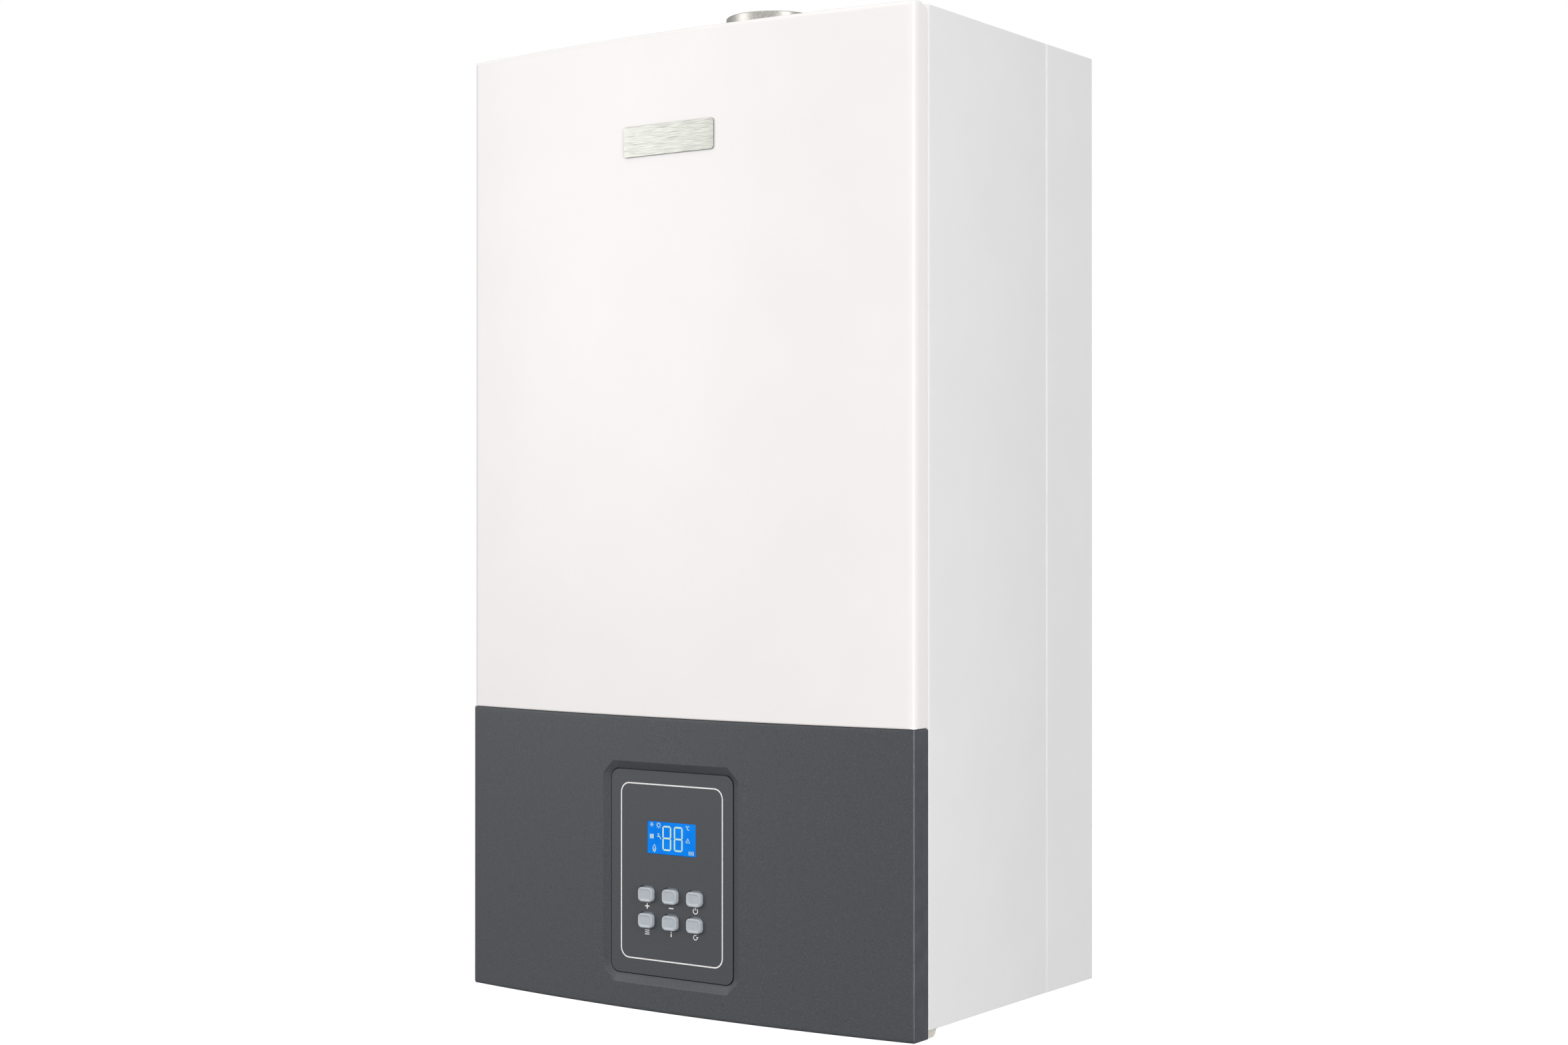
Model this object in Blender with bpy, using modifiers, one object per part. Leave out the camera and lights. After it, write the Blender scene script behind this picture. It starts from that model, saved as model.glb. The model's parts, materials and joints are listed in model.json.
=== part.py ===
"""Wall-hung gas boiler: sheet-metal casing, drop-down control panel, sealed combustion chamber
with fan, and the hydraulic group below it.  Metres, +Z up, front towards -Y.
The origin is on the wall face, at mid width and mid height of the casing."""
import math

import bmesh
import bpy
from mathutils import Matrix, Vector

# Driving sizes of the casing
WIDTH = 0.420
HEIGHT = 0.740
CORNER_DEPTH = 0.2715
BOW = 0.0145
REAR_DEPTH = 0.075
SHEET = 0.0012
GAP = 0.0003
OVERRUN = 0.002
SIDE_INSET = 0.0006
RETURN_DEPTH = 0.0188
CORNER_RADIUS = 0.0055
FASCIA_HEIGHT = 0.2241
FASCIA_OVERHANG = 0.0065
PANEL_LIP = 0.0112

# Where the casing's faces lie
HALF_W = WIDTH / 2
TOP_Z = HEIGHT / 2
BOTTOM_Z = -HEIGHT / 2
CROWN_Y = -(CORNER_DEPTH + BOW)
RETURN_Y = -(CORNER_DEPTH - RETURN_DEPTH)
PANEL_FRONT_Y = RETURN_Y + GAP
PANEL_OUT_X = HALF_W - SIDE_INSET
PANEL_IN_X = PANEL_OUT_X - SHEET
PANEL_REAR_Y = -REAR_DEPTH - GAP
FASCIA_BOTTOM_Z = BOTTOM_Z - FASCIA_OVERHANG
FASCIA_TOP_Z = FASCIA_BOTTOM_Z + FASCIA_HEIGHT
COVER_BOTTOM_Z = FASCIA_TOP_Z + GAP

# How finely round shapes are cut
ROUND_SIDES = 32
SMALL_SIDES = 16
ARC_STEPS = 4
BOW_STEPS = 20
SMOOTH_ANGLE = math.radians(35)
MERGE = 0.000005

parts = bpy.data.collections.new("gas_boiler")
cutters = bpy.data.collections.new("gas_boiler_cutters")


def clear_scene():
    """Remove what the file starts with, and link the two collections."""
    for obj in list(bpy.data.objects):
        bpy.data.objects.remove(obj, do_unlink=True)
    bpy.context.scene.collection.children.link(parts)
    bpy.context.scene.collection.children.link(cutters)


def paint(name, colour, roughness, metallic=0.0):
    """A plain Principled material."""
    mat = bpy.data.materials.new(name)
    mat.use_nodes = True
    shader = mat.node_tree.nodes["Principled BSDF"]
    shader.inputs["Base Color"].default_value = (*colour, 1)
    shader.inputs["Roughness"].default_value = roughness
    shader.inputs["Metallic"].default_value = metallic
    return mat


def place(obj, name, collection):
    """Name an object and move it to one of the two collections."""
    obj.name = name
    for owner in list(obj.users_collection):
        owner.objects.unlink(obj)
    collection.objects.link(obj)
    return obj


def keep(obj, name, mat, round_piece=False):
    """Make an object a finished piece of the boiler."""
    place(obj, name, parts)
    obj.data.materials.clear()
    obj.data.materials.append(mat)
    if round_piece:
        obj.data.shade_smooth()
        obj.data.set_sharp_from_angle(angle=SMOOTH_ANGLE)
    return obj


def tool(obj):
    """Put a shape that cuts or joins another out of the way."""
    place(obj, "tool", cutters)
    obj.hide_render = True
    obj.display_type = 'WIRE'
    return obj


def box(x, y, z):
    """A block between the given (low, high) pairs."""
    bpy.ops.mesh.primitive_cube_add(size=1)
    obj = bpy.context.object
    size = Vector((x[1] - x[0], y[1] - y[0], z[1] - z[0]))
    middle = Vector((x[0] + x[1], y[0] + y[1], z[0] + z[1])) / 2
    obj.data.transform(Matrix.Translation(middle) @ Matrix.Diagonal((*size, 1)))
    return obj


def cylinder(axis, centre, radius, start, end, sides=ROUND_SIDES):
    """A round bar along an axis; centre gives its place in the two other directions."""
    bpy.ops.mesh.primitive_cylinder_add(vertices=sides, radius=radius, depth=abs(end - start))
    obj = bpy.context.object
    turn = {"X": Matrix.Rotation(math.pi / 2, 4, 'Y'),
            "Y": Matrix.Rotation(math.pi / 2, 4, 'X'),
            "Z": Matrix.Identity(4)}[axis]
    middle = list(centre)
    middle.insert("XYZ".index(axis), (start + end) / 2)
    obj.data.transform(Matrix.Translation(middle) @ turn)
    return obj


def from_curve(curve_object):
    """Turn a curve into a welded mesh object."""
    evaluated = curve_object.evaluated_get(bpy.context.evaluated_depsgraph_get())
    mesh = bpy.data.meshes.new_from_object(evaluated)
    bm = bmesh.new()
    bm.from_mesh(mesh)
    bmesh.ops.remove_doubles(bm, verts=bm.verts, dist=MERGE)
    bmesh.ops.recalc_face_normals(bm, faces=bm.faces)
    bm.to_mesh(mesh)
    bm.free()
    obj = bpy.data.objects.new("mesh", mesh)
    obj.matrix_world = curve_object.matrix_world.copy()
    bpy.context.scene.collection.objects.link(obj)
    bpy.data.objects.remove(curve_object)
    return obj


def prism(points, axis, start, end):
    """An outline drawn in the two other directions and drawn out along an axis."""
    curve = bpy.data.curves.new("outline", 'CURVE')
    curve.dimensions = '2D'
    curve.fill_mode = 'BOTH'
    curve.extrude = abs(end - start) / 2
    spline = curve.splines.new('POLY')
    spline.points.add(len(points) - 1)
    for point, place_2d in zip(spline.points, points):
        point.co = (*place_2d, 0, 1)
    spline.use_cyclic_u = True
    holder = bpy.data.objects.new("outline", curve)
    bpy.context.scene.collection.objects.link(holder)
    bpy.context.view_layer.update()
    obj = from_curve(holder)
    columns = {"X": ((0, 1, 0), (0, 0, 1), (1, 0, 0)),
               "Y": ((1, 0, 0), (0, 0, 1), (0, -1, 0)),
               "Z": ((1, 0, 0), (0, 1, 0), (0, 0, 1))}[axis]
    turn = Matrix(columns).transposed().to_4x4()
    shift = [0, 0, 0]
    shift["XYZ".index(axis)] = (start + end) / 2
    obj.data.transform(Matrix.Translation(shift) @ turn)
    return obj


def pipe(points, radius):
    """A round tube along a list of points, with filled ends."""
    curve = bpy.data.curves.new("pipe", 'CURVE')
    curve.dimensions = '3D'
    curve.bevel_depth = radius
    curve.bevel_resolution = 2
    curve.use_fill_caps = True
    spline = curve.splines.new('POLY')
    spline.points.add(len(points) - 1)
    for point, spot in zip(spline.points, points):
        point.co = (*spot, 1)
    holder = bpy.data.objects.new("pipe", curve)
    bpy.context.scene.collection.objects.link(holder)
    bpy.context.view_layer.update()
    return from_curve(holder)


def bent(corners, bend_radius, steps=ARC_STEPS):
    """Round the corners of a route: each becomes a quadratic curve that starts bend_radius before it."""
    spots = [Vector(c) for c in corners]
    route = [spots[0]]
    for before, corner, after in zip(spots, spots[1:], spots[2:]):
        first = corner + (before - corner).normalized() * bend_radius
        last = corner + (after - corner).normalized() * bend_radius
        for step in range(steps + 1):
            t = step / steps
            route.append(first * (1 - t) ** 2 + corner * 2 * t * (1 - t) + last * t ** 2)
    route.append(spots[-1])
    return route


def boolean(obj, other, operation):
    """Cut or join with another shape, worked out when the part is built."""
    modifier = obj.modifiers.new(operation.lower(), 'BOOLEAN')
    modifier.operation = operation
    modifier.solver = 'EXACT'
    modifier.object = tool(other)


def cut(obj, *others):
    """Take the other shapes out of an object."""
    for other in others:
        boolean(obj, other, 'DIFFERENCE')
    return obj


def join(obj, *others):
    """Fuse the other shapes with an object."""
    for other in others:
        boolean(obj, other, 'UNION')
    return obj


def soften(obj, width, segments=2):
    """Round the edges of a block."""
    modifier = obj.modifiers.new("soften", 'BEVEL')
    modifier.width = width
    modifier.segments = segments
    modifier.limit_method = 'ANGLE'
    return obj


def both(edge):
    """A pair that reaches as far on either side of the middle."""
    return (-edge, edge)


def around(middle, half):
    """A pair that reaches as far on either side of a place."""
    return (middle - half, middle + half)


def arc(centre, radius, start_deg, end_deg, steps=ARC_STEPS):
    """Points on an arc, both ends included."""
    angles = [math.radians(start_deg + (end_deg - start_deg) * i / steps) for i in range(steps + 1)]
    return [(centre[0] + radius * math.cos(a), centre[1] + radius * math.sin(a)) for a in angles]


def rounded_rectangle(x, z, radius, steps=ARC_STEPS):
    """Counter-clockwise outline of a rectangle with round corners."""
    low = (x[0] + radius, z[0] + radius)
    high = (x[1] - radius, z[1] - radius)
    return (arc((high[0], low[1]), radius, -90, 0, steps) + arc(high, radius, 0, 90, steps)
            + arc((low[0], high[1]), radius, 90, 180, steps) + arc(low, radius, 180, 270, steps))


def lobed(centre, radius, depth, lobes, steps_per_lobe=8):
    """A knob or wheel outline whose radius swings by depth, lobes times a turn."""
    count = lobes * steps_per_lobe
    points = []
    for i in range(count):
        angle = 2 * math.pi * i / count
        reach = radius - depth * (1 - math.cos(lobes * angle)) / 2
        points.append((centre[0] + reach * math.cos(angle), centre[1] + reach * math.sin(angle)))
    return points


def bow_y(x, inset=0):
    """Depth of the bowed front at a place across it, a parabola with its crown in the middle."""
    return -(CORNER_DEPTH + BOW * (1 - (x / HALF_W) ** 2)) + inset


def bowed_outline(inset, rear_y):
    """Plan of the front, moved in by inset: a parabola between two rounded corners."""
    edge = HALF_W - inset
    radius = max(CORNER_RADIUS - inset, inset)
    corner = (edge - radius, bow_y(edge - radius, inset) + radius)
    start = math.degrees(math.atan2(BOW * 2, HALF_W))
    right = arc(corner, radius, 0, -90 + start)
    limit = right[-1][0]
    bow = []
    for i in range(1, BOW_STEPS):
        x = limit * (1 - 2 * i / BOW_STEPS)
        bow.append((x, bow_y(x, inset)))
    left = [(-x, y) for x, y in reversed(right)]
    return ([(edge, rear_y)] + right + bow + left + [(-edge, rear_y)])[::-1]


clear_scene()

white = paint("white_enamel", (0.88, 0.87, 0.86), 0.35)
side_white = paint("white_side_enamel", (0.74, 0.75, 0.77), 0.4)
graphite = paint("graphite_plastic", (0.09, 0.095, 0.1), 0.5)
panel_black = paint("panel_lacquer", (0.03, 0.03, 0.035), 0.3)
button_grey = paint("button_grey", (0.42, 0.44, 0.5), 0.5)
glass = paint("display_glass", (0.02, 0.15, 0.65), 0.1)
silver = paint("brushed_silver", (0.7, 0.7, 0.72), 0.3, 1.0)
galvanised = paint("galvanised_sheet", (0.55, 0.57, 0.58), 0.4, 1.0)
copper = paint("copper", (0.72, 0.38, 0.24), 0.3, 1.0)
brass = paint("brass", (0.72, 0.55, 0.27), 0.3, 1.0)
stainless = paint("stainless_steel", (0.6, 0.6, 0.6), 0.3, 1.0)
nylon = paint("beige_nylon", (0.72, 0.66, 0.55), 0.5)
board_green = paint("board_laminate", (0.02, 0.2, 0.08), 0.5)
black = paint("black_plastic", (0.02, 0.02, 0.02), 0.5)
red = paint("red_enamel", (0.5, 0.03, 0.02), 0.4)
ceramic = paint("white_ceramic", (0.8, 0.79, 0.74), 0.3)
fibre = paint("ceramic_fibre", (0.7, 0.68, 0.62), 0.9)
cast = paint("cast_aluminium", (0.5, 0.51, 0.52), 0.5, 1.0)
blue = paint("blue_plastic", (0.03, 0.1, 0.45), 0.4)
clear_glass = paint("sight_glass", (0.6, 0.65, 0.65), 0.1)

# Rear section and casing sheets
HOOK_WIDTH = 0.025
HOOK_HEIGHT = 0.010
HOOK_INSET = 0.060
HOOK_X = HALF_W - HOOK_INSET
HOOK_DROP = 0.025
FLUE_SET_BACK = 0.0727
FLUE_Y = PANEL_REAR_Y - FLUE_SET_BACK
FLUE_RADIUS = 0.0375
FLUE_WALL = 0.0015
FLUE_RISE = 0.031
FLUE_FIT = 0.0005
FLOOR_RISE = 0.014
FLOOR_SET_BACK = 0.0377
FLOOR_FRONT_Y = RETURN_Y + FLOOR_SET_BACK
SLIDE_IN = PANEL_IN_X - GAP
FLOOR_Z = BOTTOM_Z + FLOOR_RISE

# Water and gas connections below the floor
STUB_Y = -0.095
GAS_FORWARD = 0.040
GAS_Y = STUB_Y - GAS_FORWARD
STUB_MARGIN = 0.0779
STUB_PITCH = (SLIDE_IN - STUB_MARGIN) / 2
FLOW_X = -2 * STUB_PITCH
HOT_X = -STUB_PITCH
COLD_X = STUB_PITCH
RETURN_X = 2 * STUB_PITCH
HEATING_RADIUS = 0.0132
WATER_RADIUS = 0.0104
GAS_RADIUS = 0.0104
STUB_LENGTH = 0.018
STUB_END_Z = BOTTOM_Z - STUB_LENGTH
STUBS = {"heating_flow_stub": (FLOW_X, HEATING_RADIUS), "hot_water_stub": (HOT_X, WATER_RADIUS),
         "cold_water_stub": (COLD_X, WATER_RADIUS), "heating_return_stub": (RETURN_X, HEATING_RADIUS)}
GLAND_INSET = 0.0329
GLAND_X = -(SLIDE_IN - GLAND_INSET)
GLAND_FORWARD = 0.055
GLAND_Y = STUB_Y - GLAND_FORWARD
GLAND_NECK = 0.0065
GLAND_HEAD = 0.010
GLAND_BORE = 0.0035
GLAND_DROP = 0.014


def back_frame():
    """Tray that hangs on the wall: a sheet with four flanges and two hanging slots."""
    frame = box(both(HALF_W), (-REAR_DEPTH, 0), (BOTTOM_Z, TOP_Z))
    cut(frame, box(both(HALF_W - SHEET), (-REAR_DEPTH - OVERRUN, -SHEET),
                   (BOTTOM_Z + SHEET, TOP_Z - SHEET)))
    for side in (-1, 1):
        cut(frame, box(around(side * HOOK_X, HOOK_WIDTH / 2), (-SHEET - OVERRUN, OVERRUN),
                       around(TOP_Z - HOOK_DROP, HOOK_HEIGHT / 2)))
    return keep(frame, "back_frame", white)


def side_panel(name, side):
    """Sheet with a lip turned in behind the front cover."""
    outline = [(PANEL_OUT_X, PANEL_REAR_Y), (PANEL_IN_X, PANEL_REAR_Y),
               (PANEL_IN_X, PANEL_FRONT_Y + SHEET), (PANEL_OUT_X - PANEL_LIP, PANEL_FRONT_Y + SHEET),
               (PANEL_OUT_X - PANEL_LIP, PANEL_FRONT_Y), (PANEL_OUT_X, PANEL_FRONT_Y)]
    panel = prism([(side * x, y) for x, y in outline], "Z", BOTTOM_Z, TOP_Z)
    return keep(panel, name, side_white)


def top_panel():
    """Sheet between the side panels, with the hole for the flue collar and a lip behind the cover."""
    top = (TOP_Z - SHEET, TOP_Z)
    lip_y = (PANEL_FRONT_Y, PANEL_FRONT_Y + SHEET)
    panel = box(both(SLIDE_IN), (lip_y[1] + GAP, PANEL_REAR_Y), top)
    cut(panel, cylinder("Z", (0, FLUE_Y), FLUE_RADIUS + FLUE_FIT, top[0] - OVERRUN, top[1] + OVERRUN))
    lip_x = both(PANEL_OUT_X - PANEL_LIP - GAP)
    join(panel, box(lip_x, (lip_y[0], lip_y[1] + OVERRUN), top))
    join(panel, box(lip_x, lip_y, (TOP_Z - PANEL_LIP, TOP_Z - SHEET / 2)))
    return keep(panel, "top_panel", side_white)


def bottom_plate():
    """Floor sheet that carries the connections and the cable gland."""
    plate = box(both(SLIDE_IN - GAP), (FLOOR_FRONT_Y, -SHEET - GAP), (FLOOR_Z, FLOOR_Z + SHEET))
    holes = [(x, STUB_Y, radius) for x, radius in STUBS.values()]
    holes += [(0, GAS_Y, GAS_RADIUS), (GLAND_X, GLAND_Y, GLAND_NECK)]
    for x, y, radius in holes:
        cut(plate, cylinder("Z", (x, y), radius + GAP, FLOOR_Z - OVERRUN, FLOOR_Z + SHEET + OVERRUN))
    return keep(plate, "bottom_plate", galvanised)


def cable_gland():
    """Empty gland for the supply lead."""
    head_z = FLOOR_Z - GAP
    gland = cylinder("Z", (GLAND_X, GLAND_Y), GLAND_HEAD, head_z - GLAND_DROP, head_z, SMALL_SIDES)
    neck_top = FLOOR_Z + SHEET + GAP
    join(gland, cylinder("Z", (GLAND_X, GLAND_Y), GLAND_NECK, head_z - GLAND_DROP / 2, neck_top, SMALL_SIDES))
    cut(gland, cylinder("Z", (GLAND_X, GLAND_Y), GLAND_BORE, head_z - GLAND_DROP - OVERRUN,
                        neck_top + OVERRUN, SMALL_SIDES))
    return keep(gland, "cable_gland", black, True)


# Name plate on the cover
BADGE_HALF = 0.0426
BADGE_DROP = 0.0704
BADGE_HEIGHT = 0.0235
BADGE_TOP_Z = TOP_Z - BADGE_DROP
BADGE_BOTTOM_Z = BADGE_TOP_Z - BADGE_HEIGHT
BADGE_THICK = 0.0008


def front_cover():
    """Bowed sheet cover, open behind, that hooks on the side panels and pulls off forwards."""
    cover = prism(bowed_outline(0, RETURN_Y), "Z", COVER_BOTTOM_Z, TOP_Z)
    cut(cover, prism(bowed_outline(SHEET, RETURN_Y + OVERRUN), "Z", COVER_BOTTOM_Z + SHEET, TOP_Z - SHEET))
    return keep(cover, "front_cover", white, True)


def name_plate():
    """Bare metal plate that follows the bow of the cover."""
    spots = [BADGE_HALF * (2 * i / BOW_STEPS - 1) for i in range(BOW_STEPS + 1)]
    back = [(x, bow_y(x, -GAP)) for x in spots]
    front = [(x, bow_y(x, -GAP - BADGE_THICK)) for x in reversed(spots)]
    return keep(prism(back + front, "Z", BADGE_BOTTOM_Z, BADGE_TOP_Z), "name_plate", silver)


# Control panel: fascia, recess, plate, window and keys
FASCIA_WALL = 0.0025
RECESS_SIDE_BORDER = 0.0066
RECESS_TOP_BORDER = 0.0058
RECESS_BOTTOM_BORDER = 0.0063
PLATE_HALF = 0.0578
PLATE_RISE = 0.0272
PLATE_HEIGHT = 0.156
PLATE_BOTTOM_Z = FASCIA_BOTTOM_Z + PLATE_RISE
PLATE_TOP_Z = PLATE_BOTTOM_Z + PLATE_HEIGHT
RECESS_HALF = PLATE_HALF + RECESS_SIDE_BORDER
RECESS_TOP_Z = PLATE_TOP_Z + RECESS_TOP_BORDER
RECESS_BOTTOM_Z = PLATE_BOTTOM_Z - RECESS_BOTTOM_BORDER
PLATE_RADIUS = 0.007
PLATE_SET_BACK = 0.0036
PLATE_THICK = 0.002
PLATE_CLEARANCE = 0.0006
SEAT_LEDGE = 0.0038
SEAT_THICK = 0.0026
BOSS_BORDER = 0.0082
PLATE_FRONT_Y = CROWN_Y + PLATE_SET_BACK
PLATE_BACK_Y = PLATE_FRONT_Y + PLATE_THICK
SEAT_Y = PLATE_BACK_Y + GAP
BOSS_BACK_Y = SEAT_Y + SEAT_THICK
BOSS_X = PLATE_HALF + BOSS_BORDER
BOSS_Z = (PLATE_BOTTOM_Z - BOSS_BORDER, PLATE_TOP_Z + BOSS_BORDER)
SCREEN_HALF = 0.0227
SCREEN_DROP = 0.0386
SCREEN_HEIGHT = 0.0242
SCREEN_TOP_Z = PLATE_TOP_Z - SCREEN_DROP
SCREEN_BOTTOM_Z = SCREEN_TOP_Z - SCREEN_HEIGHT
MODULE_BORDER = 0.0033
KEY_PITCH_X = 0.0230
KEY_PITCH_Z = 0.0199
KEYS_DROP = 0.0313
KEY_TOP_ROW_Z = SCREEN_BOTTOM_Z - KEYS_DROP
KEY_WIDTH = 0.0137
KEY_HEIGHT = 0.012
KEY_RADIUS = 0.0035
KEY_RISE = 0.0035
KEY_CLEARANCE = 0.00035
KEY_FLANGE = 0.001
KEY_FLANGE_THICK = 0.0008
BOARD_THICK = 0.0016
KEYS = {"button_plus": (-1, 0), "button_minus": (0, 0), "button_power": (1, 0),
        "button_mode": (-1, 1), "button_info": (0, 1), "button_reset": (1, 1)}

# Hinge of the control panel
HINGE_SET_BACK = 0.0057
HINGE_Y = RETURN_Y + HINGE_SET_BACK
HINGE_DROP = 0.0005
HINGE_Z = BOTTOM_Z - HINGE_DROP
PIN_RADIUS = 0.003
PIN_LENGTH = 0.0103
EAR_RADIUS = 0.0052
EAR_THICK = 0.004
BRACKET_CLEARANCE = 0.0007
BRACKET_WIDTH = 0.0075
BRACKET_OUT_X = HALF_W - FASCIA_WALL - BRACKET_CLEARANCE
BRACKET_IN_X = BRACKET_OUT_X - BRACKET_WIDTH
BRACKET_FRONT = 0.005
BRACKET_REAR = 0.011
BRACKET_DROP = 0.007
BRACKET_RISE = 0.0185
BRACKET_OVERLAP = 0.0015
BRACKET_ROUND = 0.004
NOTCH_MARGIN_X = 0.0033
NOTCH_FORWARD = 0.015
NOTCH_FRONT_Y = HINGE_Y - NOTCH_FORWARD

# Box behind the fascia, which holds the main board
EAR_CLEARANCE = 0.0043
CASE_HALF = BRACKET_IN_X - EAR_CLEARANCE
CASE_DROP = 0.0076
CASE_TOP_Z = FASCIA_TOP_Z - CASE_DROP
CASE_RISE = 0.018
CASE_BOTTOM_Z = BOTTOM_Z + CASE_RISE
CASE_REAR_Y = FLOOR_FRONT_Y
CASE_WALL = 0.0025
CASE_FIT = 0.0005
POST_RADIUS = 0.003
POST_LENGTH = 0.006
POST_INSET = 0.010
MAIN_BOARD_MARGIN = 0.045
MAIN_BOARD_HALF = CASE_HALF - MAIN_BOARD_MARGIN
MAIN_BOARD_INSET_Z = 0.016
LUMP_HEIGHT = 0.026
LUMP_SHARES = {"transformer": ((-0.6, -0.3), (0.55, 0.85), 1.0),
               "relays": ((0.1, 0.5), (0.6, 0.8), 0.6),
               "plugs": ((-0.8, 0.8), (0.05, 0.2), 0.4)}


def flared(x, z, y_back, x_front, z_front, y_front):
    """A block whose front is larger than its back, run on past the front by the overrun."""
    reach = (y_back - y_front + OVERRUN) / (y_back - y_front)
    block = box(x, (y_front - OVERRUN, y_back), z)
    middle_y = (y_front + y_back) / 2
    for vertex in block.data.vertices:
        if vertex.co.y < middle_y:
            column = x.index(min(x, key=lambda edge: abs(edge - vertex.co.x)))
            row = z.index(min(z, key=lambda edge: abs(edge - vertex.co.z)))
            vertex.co.x = x[column] + (x_front[column] - x[column]) * reach
            vertex.co.z = z[row] + (z_front[row] - z[row]) * reach
    return block


def control_fascia():
    """Lower front: a bowed shell with a seat for the control plate and notches for the hinges."""
    fascia = prism(bowed_outline(0, RETURN_Y), "Z", FASCIA_BOTTOM_Z, FASCIA_TOP_Z)
    hollow = prism(bowed_outline(FASCIA_WALL, RETURN_Y + OVERRUN), "Z",
                   FASCIA_BOTTOM_Z + FASCIA_WALL, FASCIA_TOP_Z - FASCIA_WALL)
    cut(hollow, box(both(BOSS_X), (CROWN_Y - OVERRUN, BOSS_BACK_Y), BOSS_Z))
    cut(fascia, hollow)
    seat_x = both(PLATE_HALF + PLATE_CLEARANCE)
    seat_z = (PLATE_BOTTOM_Z - PLATE_CLEARANCE, PLATE_TOP_Z + PLATE_CLEARANCE)
    cut(fascia, prism(rounded_rectangle(seat_x, seat_z, PLATE_RADIUS), "Y", CROWN_Y - OVERRUN, SEAT_Y))
    cut(fascia, flared(seat_x, seat_z, PLATE_FRONT_Y, both(RECESS_HALF),
                       (RECESS_BOTTOM_Z, RECESS_TOP_Z), CROWN_Y))
    cut(fascia, box(both(PLATE_HALF - SEAT_LEDGE), (CROWN_Y, BOSS_BACK_Y + OVERRUN),
                    (PLATE_BOTTOM_Z + SEAT_LEDGE, PLATE_TOP_Z - SEAT_LEDGE)))
    for side in (-1, 1):
        notch_x = sorted((side * (BRACKET_IN_X - NOTCH_MARGIN_X), side * (BRACKET_OUT_X + GAP)))
        cut(fascia, box(notch_x, (NOTCH_FRONT_Y, RETURN_Y + OVERRUN),
                        (FASCIA_BOTTOM_Z - OVERRUN, FASCIA_BOTTOM_Z + FASCIA_WALL + OVERRUN)))
    return keep(fascia, "control_fascia", graphite, True)


def key_centre(column, row):
    """Middle of a key, by its column and row."""
    return (column * KEY_PITCH_X, KEY_TOP_ROW_Z - row * KEY_PITCH_Z)


def key_outline(column, row, margin):
    """Outline of a key with a margin round it."""
    x, z = key_centre(column, row)
    return rounded_rectangle(around(x, KEY_WIDTH / 2 + margin), around(z, KEY_HEIGHT / 2 + margin),
                             KEY_RADIUS + margin)


def control_plate():
    """Flat lacquered plate with the holes for the display and the six keys."""
    outline = rounded_rectangle(both(PLATE_HALF), (PLATE_BOTTOM_Z, PLATE_TOP_Z), PLATE_RADIUS)
    plate = prism(outline, "Y", PLATE_FRONT_Y, PLATE_BACK_Y)
    past = (PLATE_FRONT_Y - OVERRUN, PLATE_BACK_Y + OVERRUN)
    cut(plate, box(both(SCREEN_HALF + GAP), past, (SCREEN_BOTTOM_Z - GAP, SCREEN_TOP_Z + GAP)))
    for column, row in KEYS.values():
        cut(plate, prism(key_outline(column, row, KEY_CLEARANCE), "Y", *past))
    return keep(plate, "control_plate", panel_black)


def key(name, column, row):
    """Push key: a cap through the plate with a flange behind it."""
    cap = prism(key_outline(column, row, 0), "Y", PLATE_FRONT_Y - KEY_RISE, SEAT_Y + KEY_FLANGE_THICK)
    join(cap, prism(key_outline(column, row, KEY_FLANGE), "Y", SEAT_Y, SEAT_Y + KEY_FLANGE_THICK))
    return keep(cap, name, button_grey)


def display():
    """Window in the plate, the display module behind it and the keypad board behind both."""
    window = box(both(SCREEN_HALF), (PLATE_FRONT_Y, PLATE_BACK_Y), (SCREEN_BOTTOM_Z, SCREEN_TOP_Z))
    keep(window, "display_window", glass)
    module = box(both(SCREEN_HALF + MODULE_BORDER), (SEAT_Y, BOSS_BACK_Y),
                 (SCREEN_BOTTOM_Z - MODULE_BORDER, SCREEN_TOP_Z + MODULE_BORDER))
    keep(module, "display_module", black)
    board = box(both(PLATE_HALF + SEAT_LEDGE), (BOSS_BACK_Y + GAP, BOSS_BACK_Y + GAP + BOARD_THICK),
                (PLATE_BOTTOM_Z - SEAT_LEDGE, PLATE_TOP_Z + SEAT_LEDGE))
    keep(board, "keypad_board", board_green)


def post_places():
    """Where the four posts of the main board stand."""
    low = CASE_BOTTOM_Z + MAIN_BOARD_INSET_Z + POST_INSET
    high = CASE_TOP_Z - MAIN_BOARD_INSET_Z - POST_INSET
    x = MAIN_BOARD_HALF - POST_INSET
    return [(-x, low), (x, low), (-x, high), (x, high)]


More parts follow.
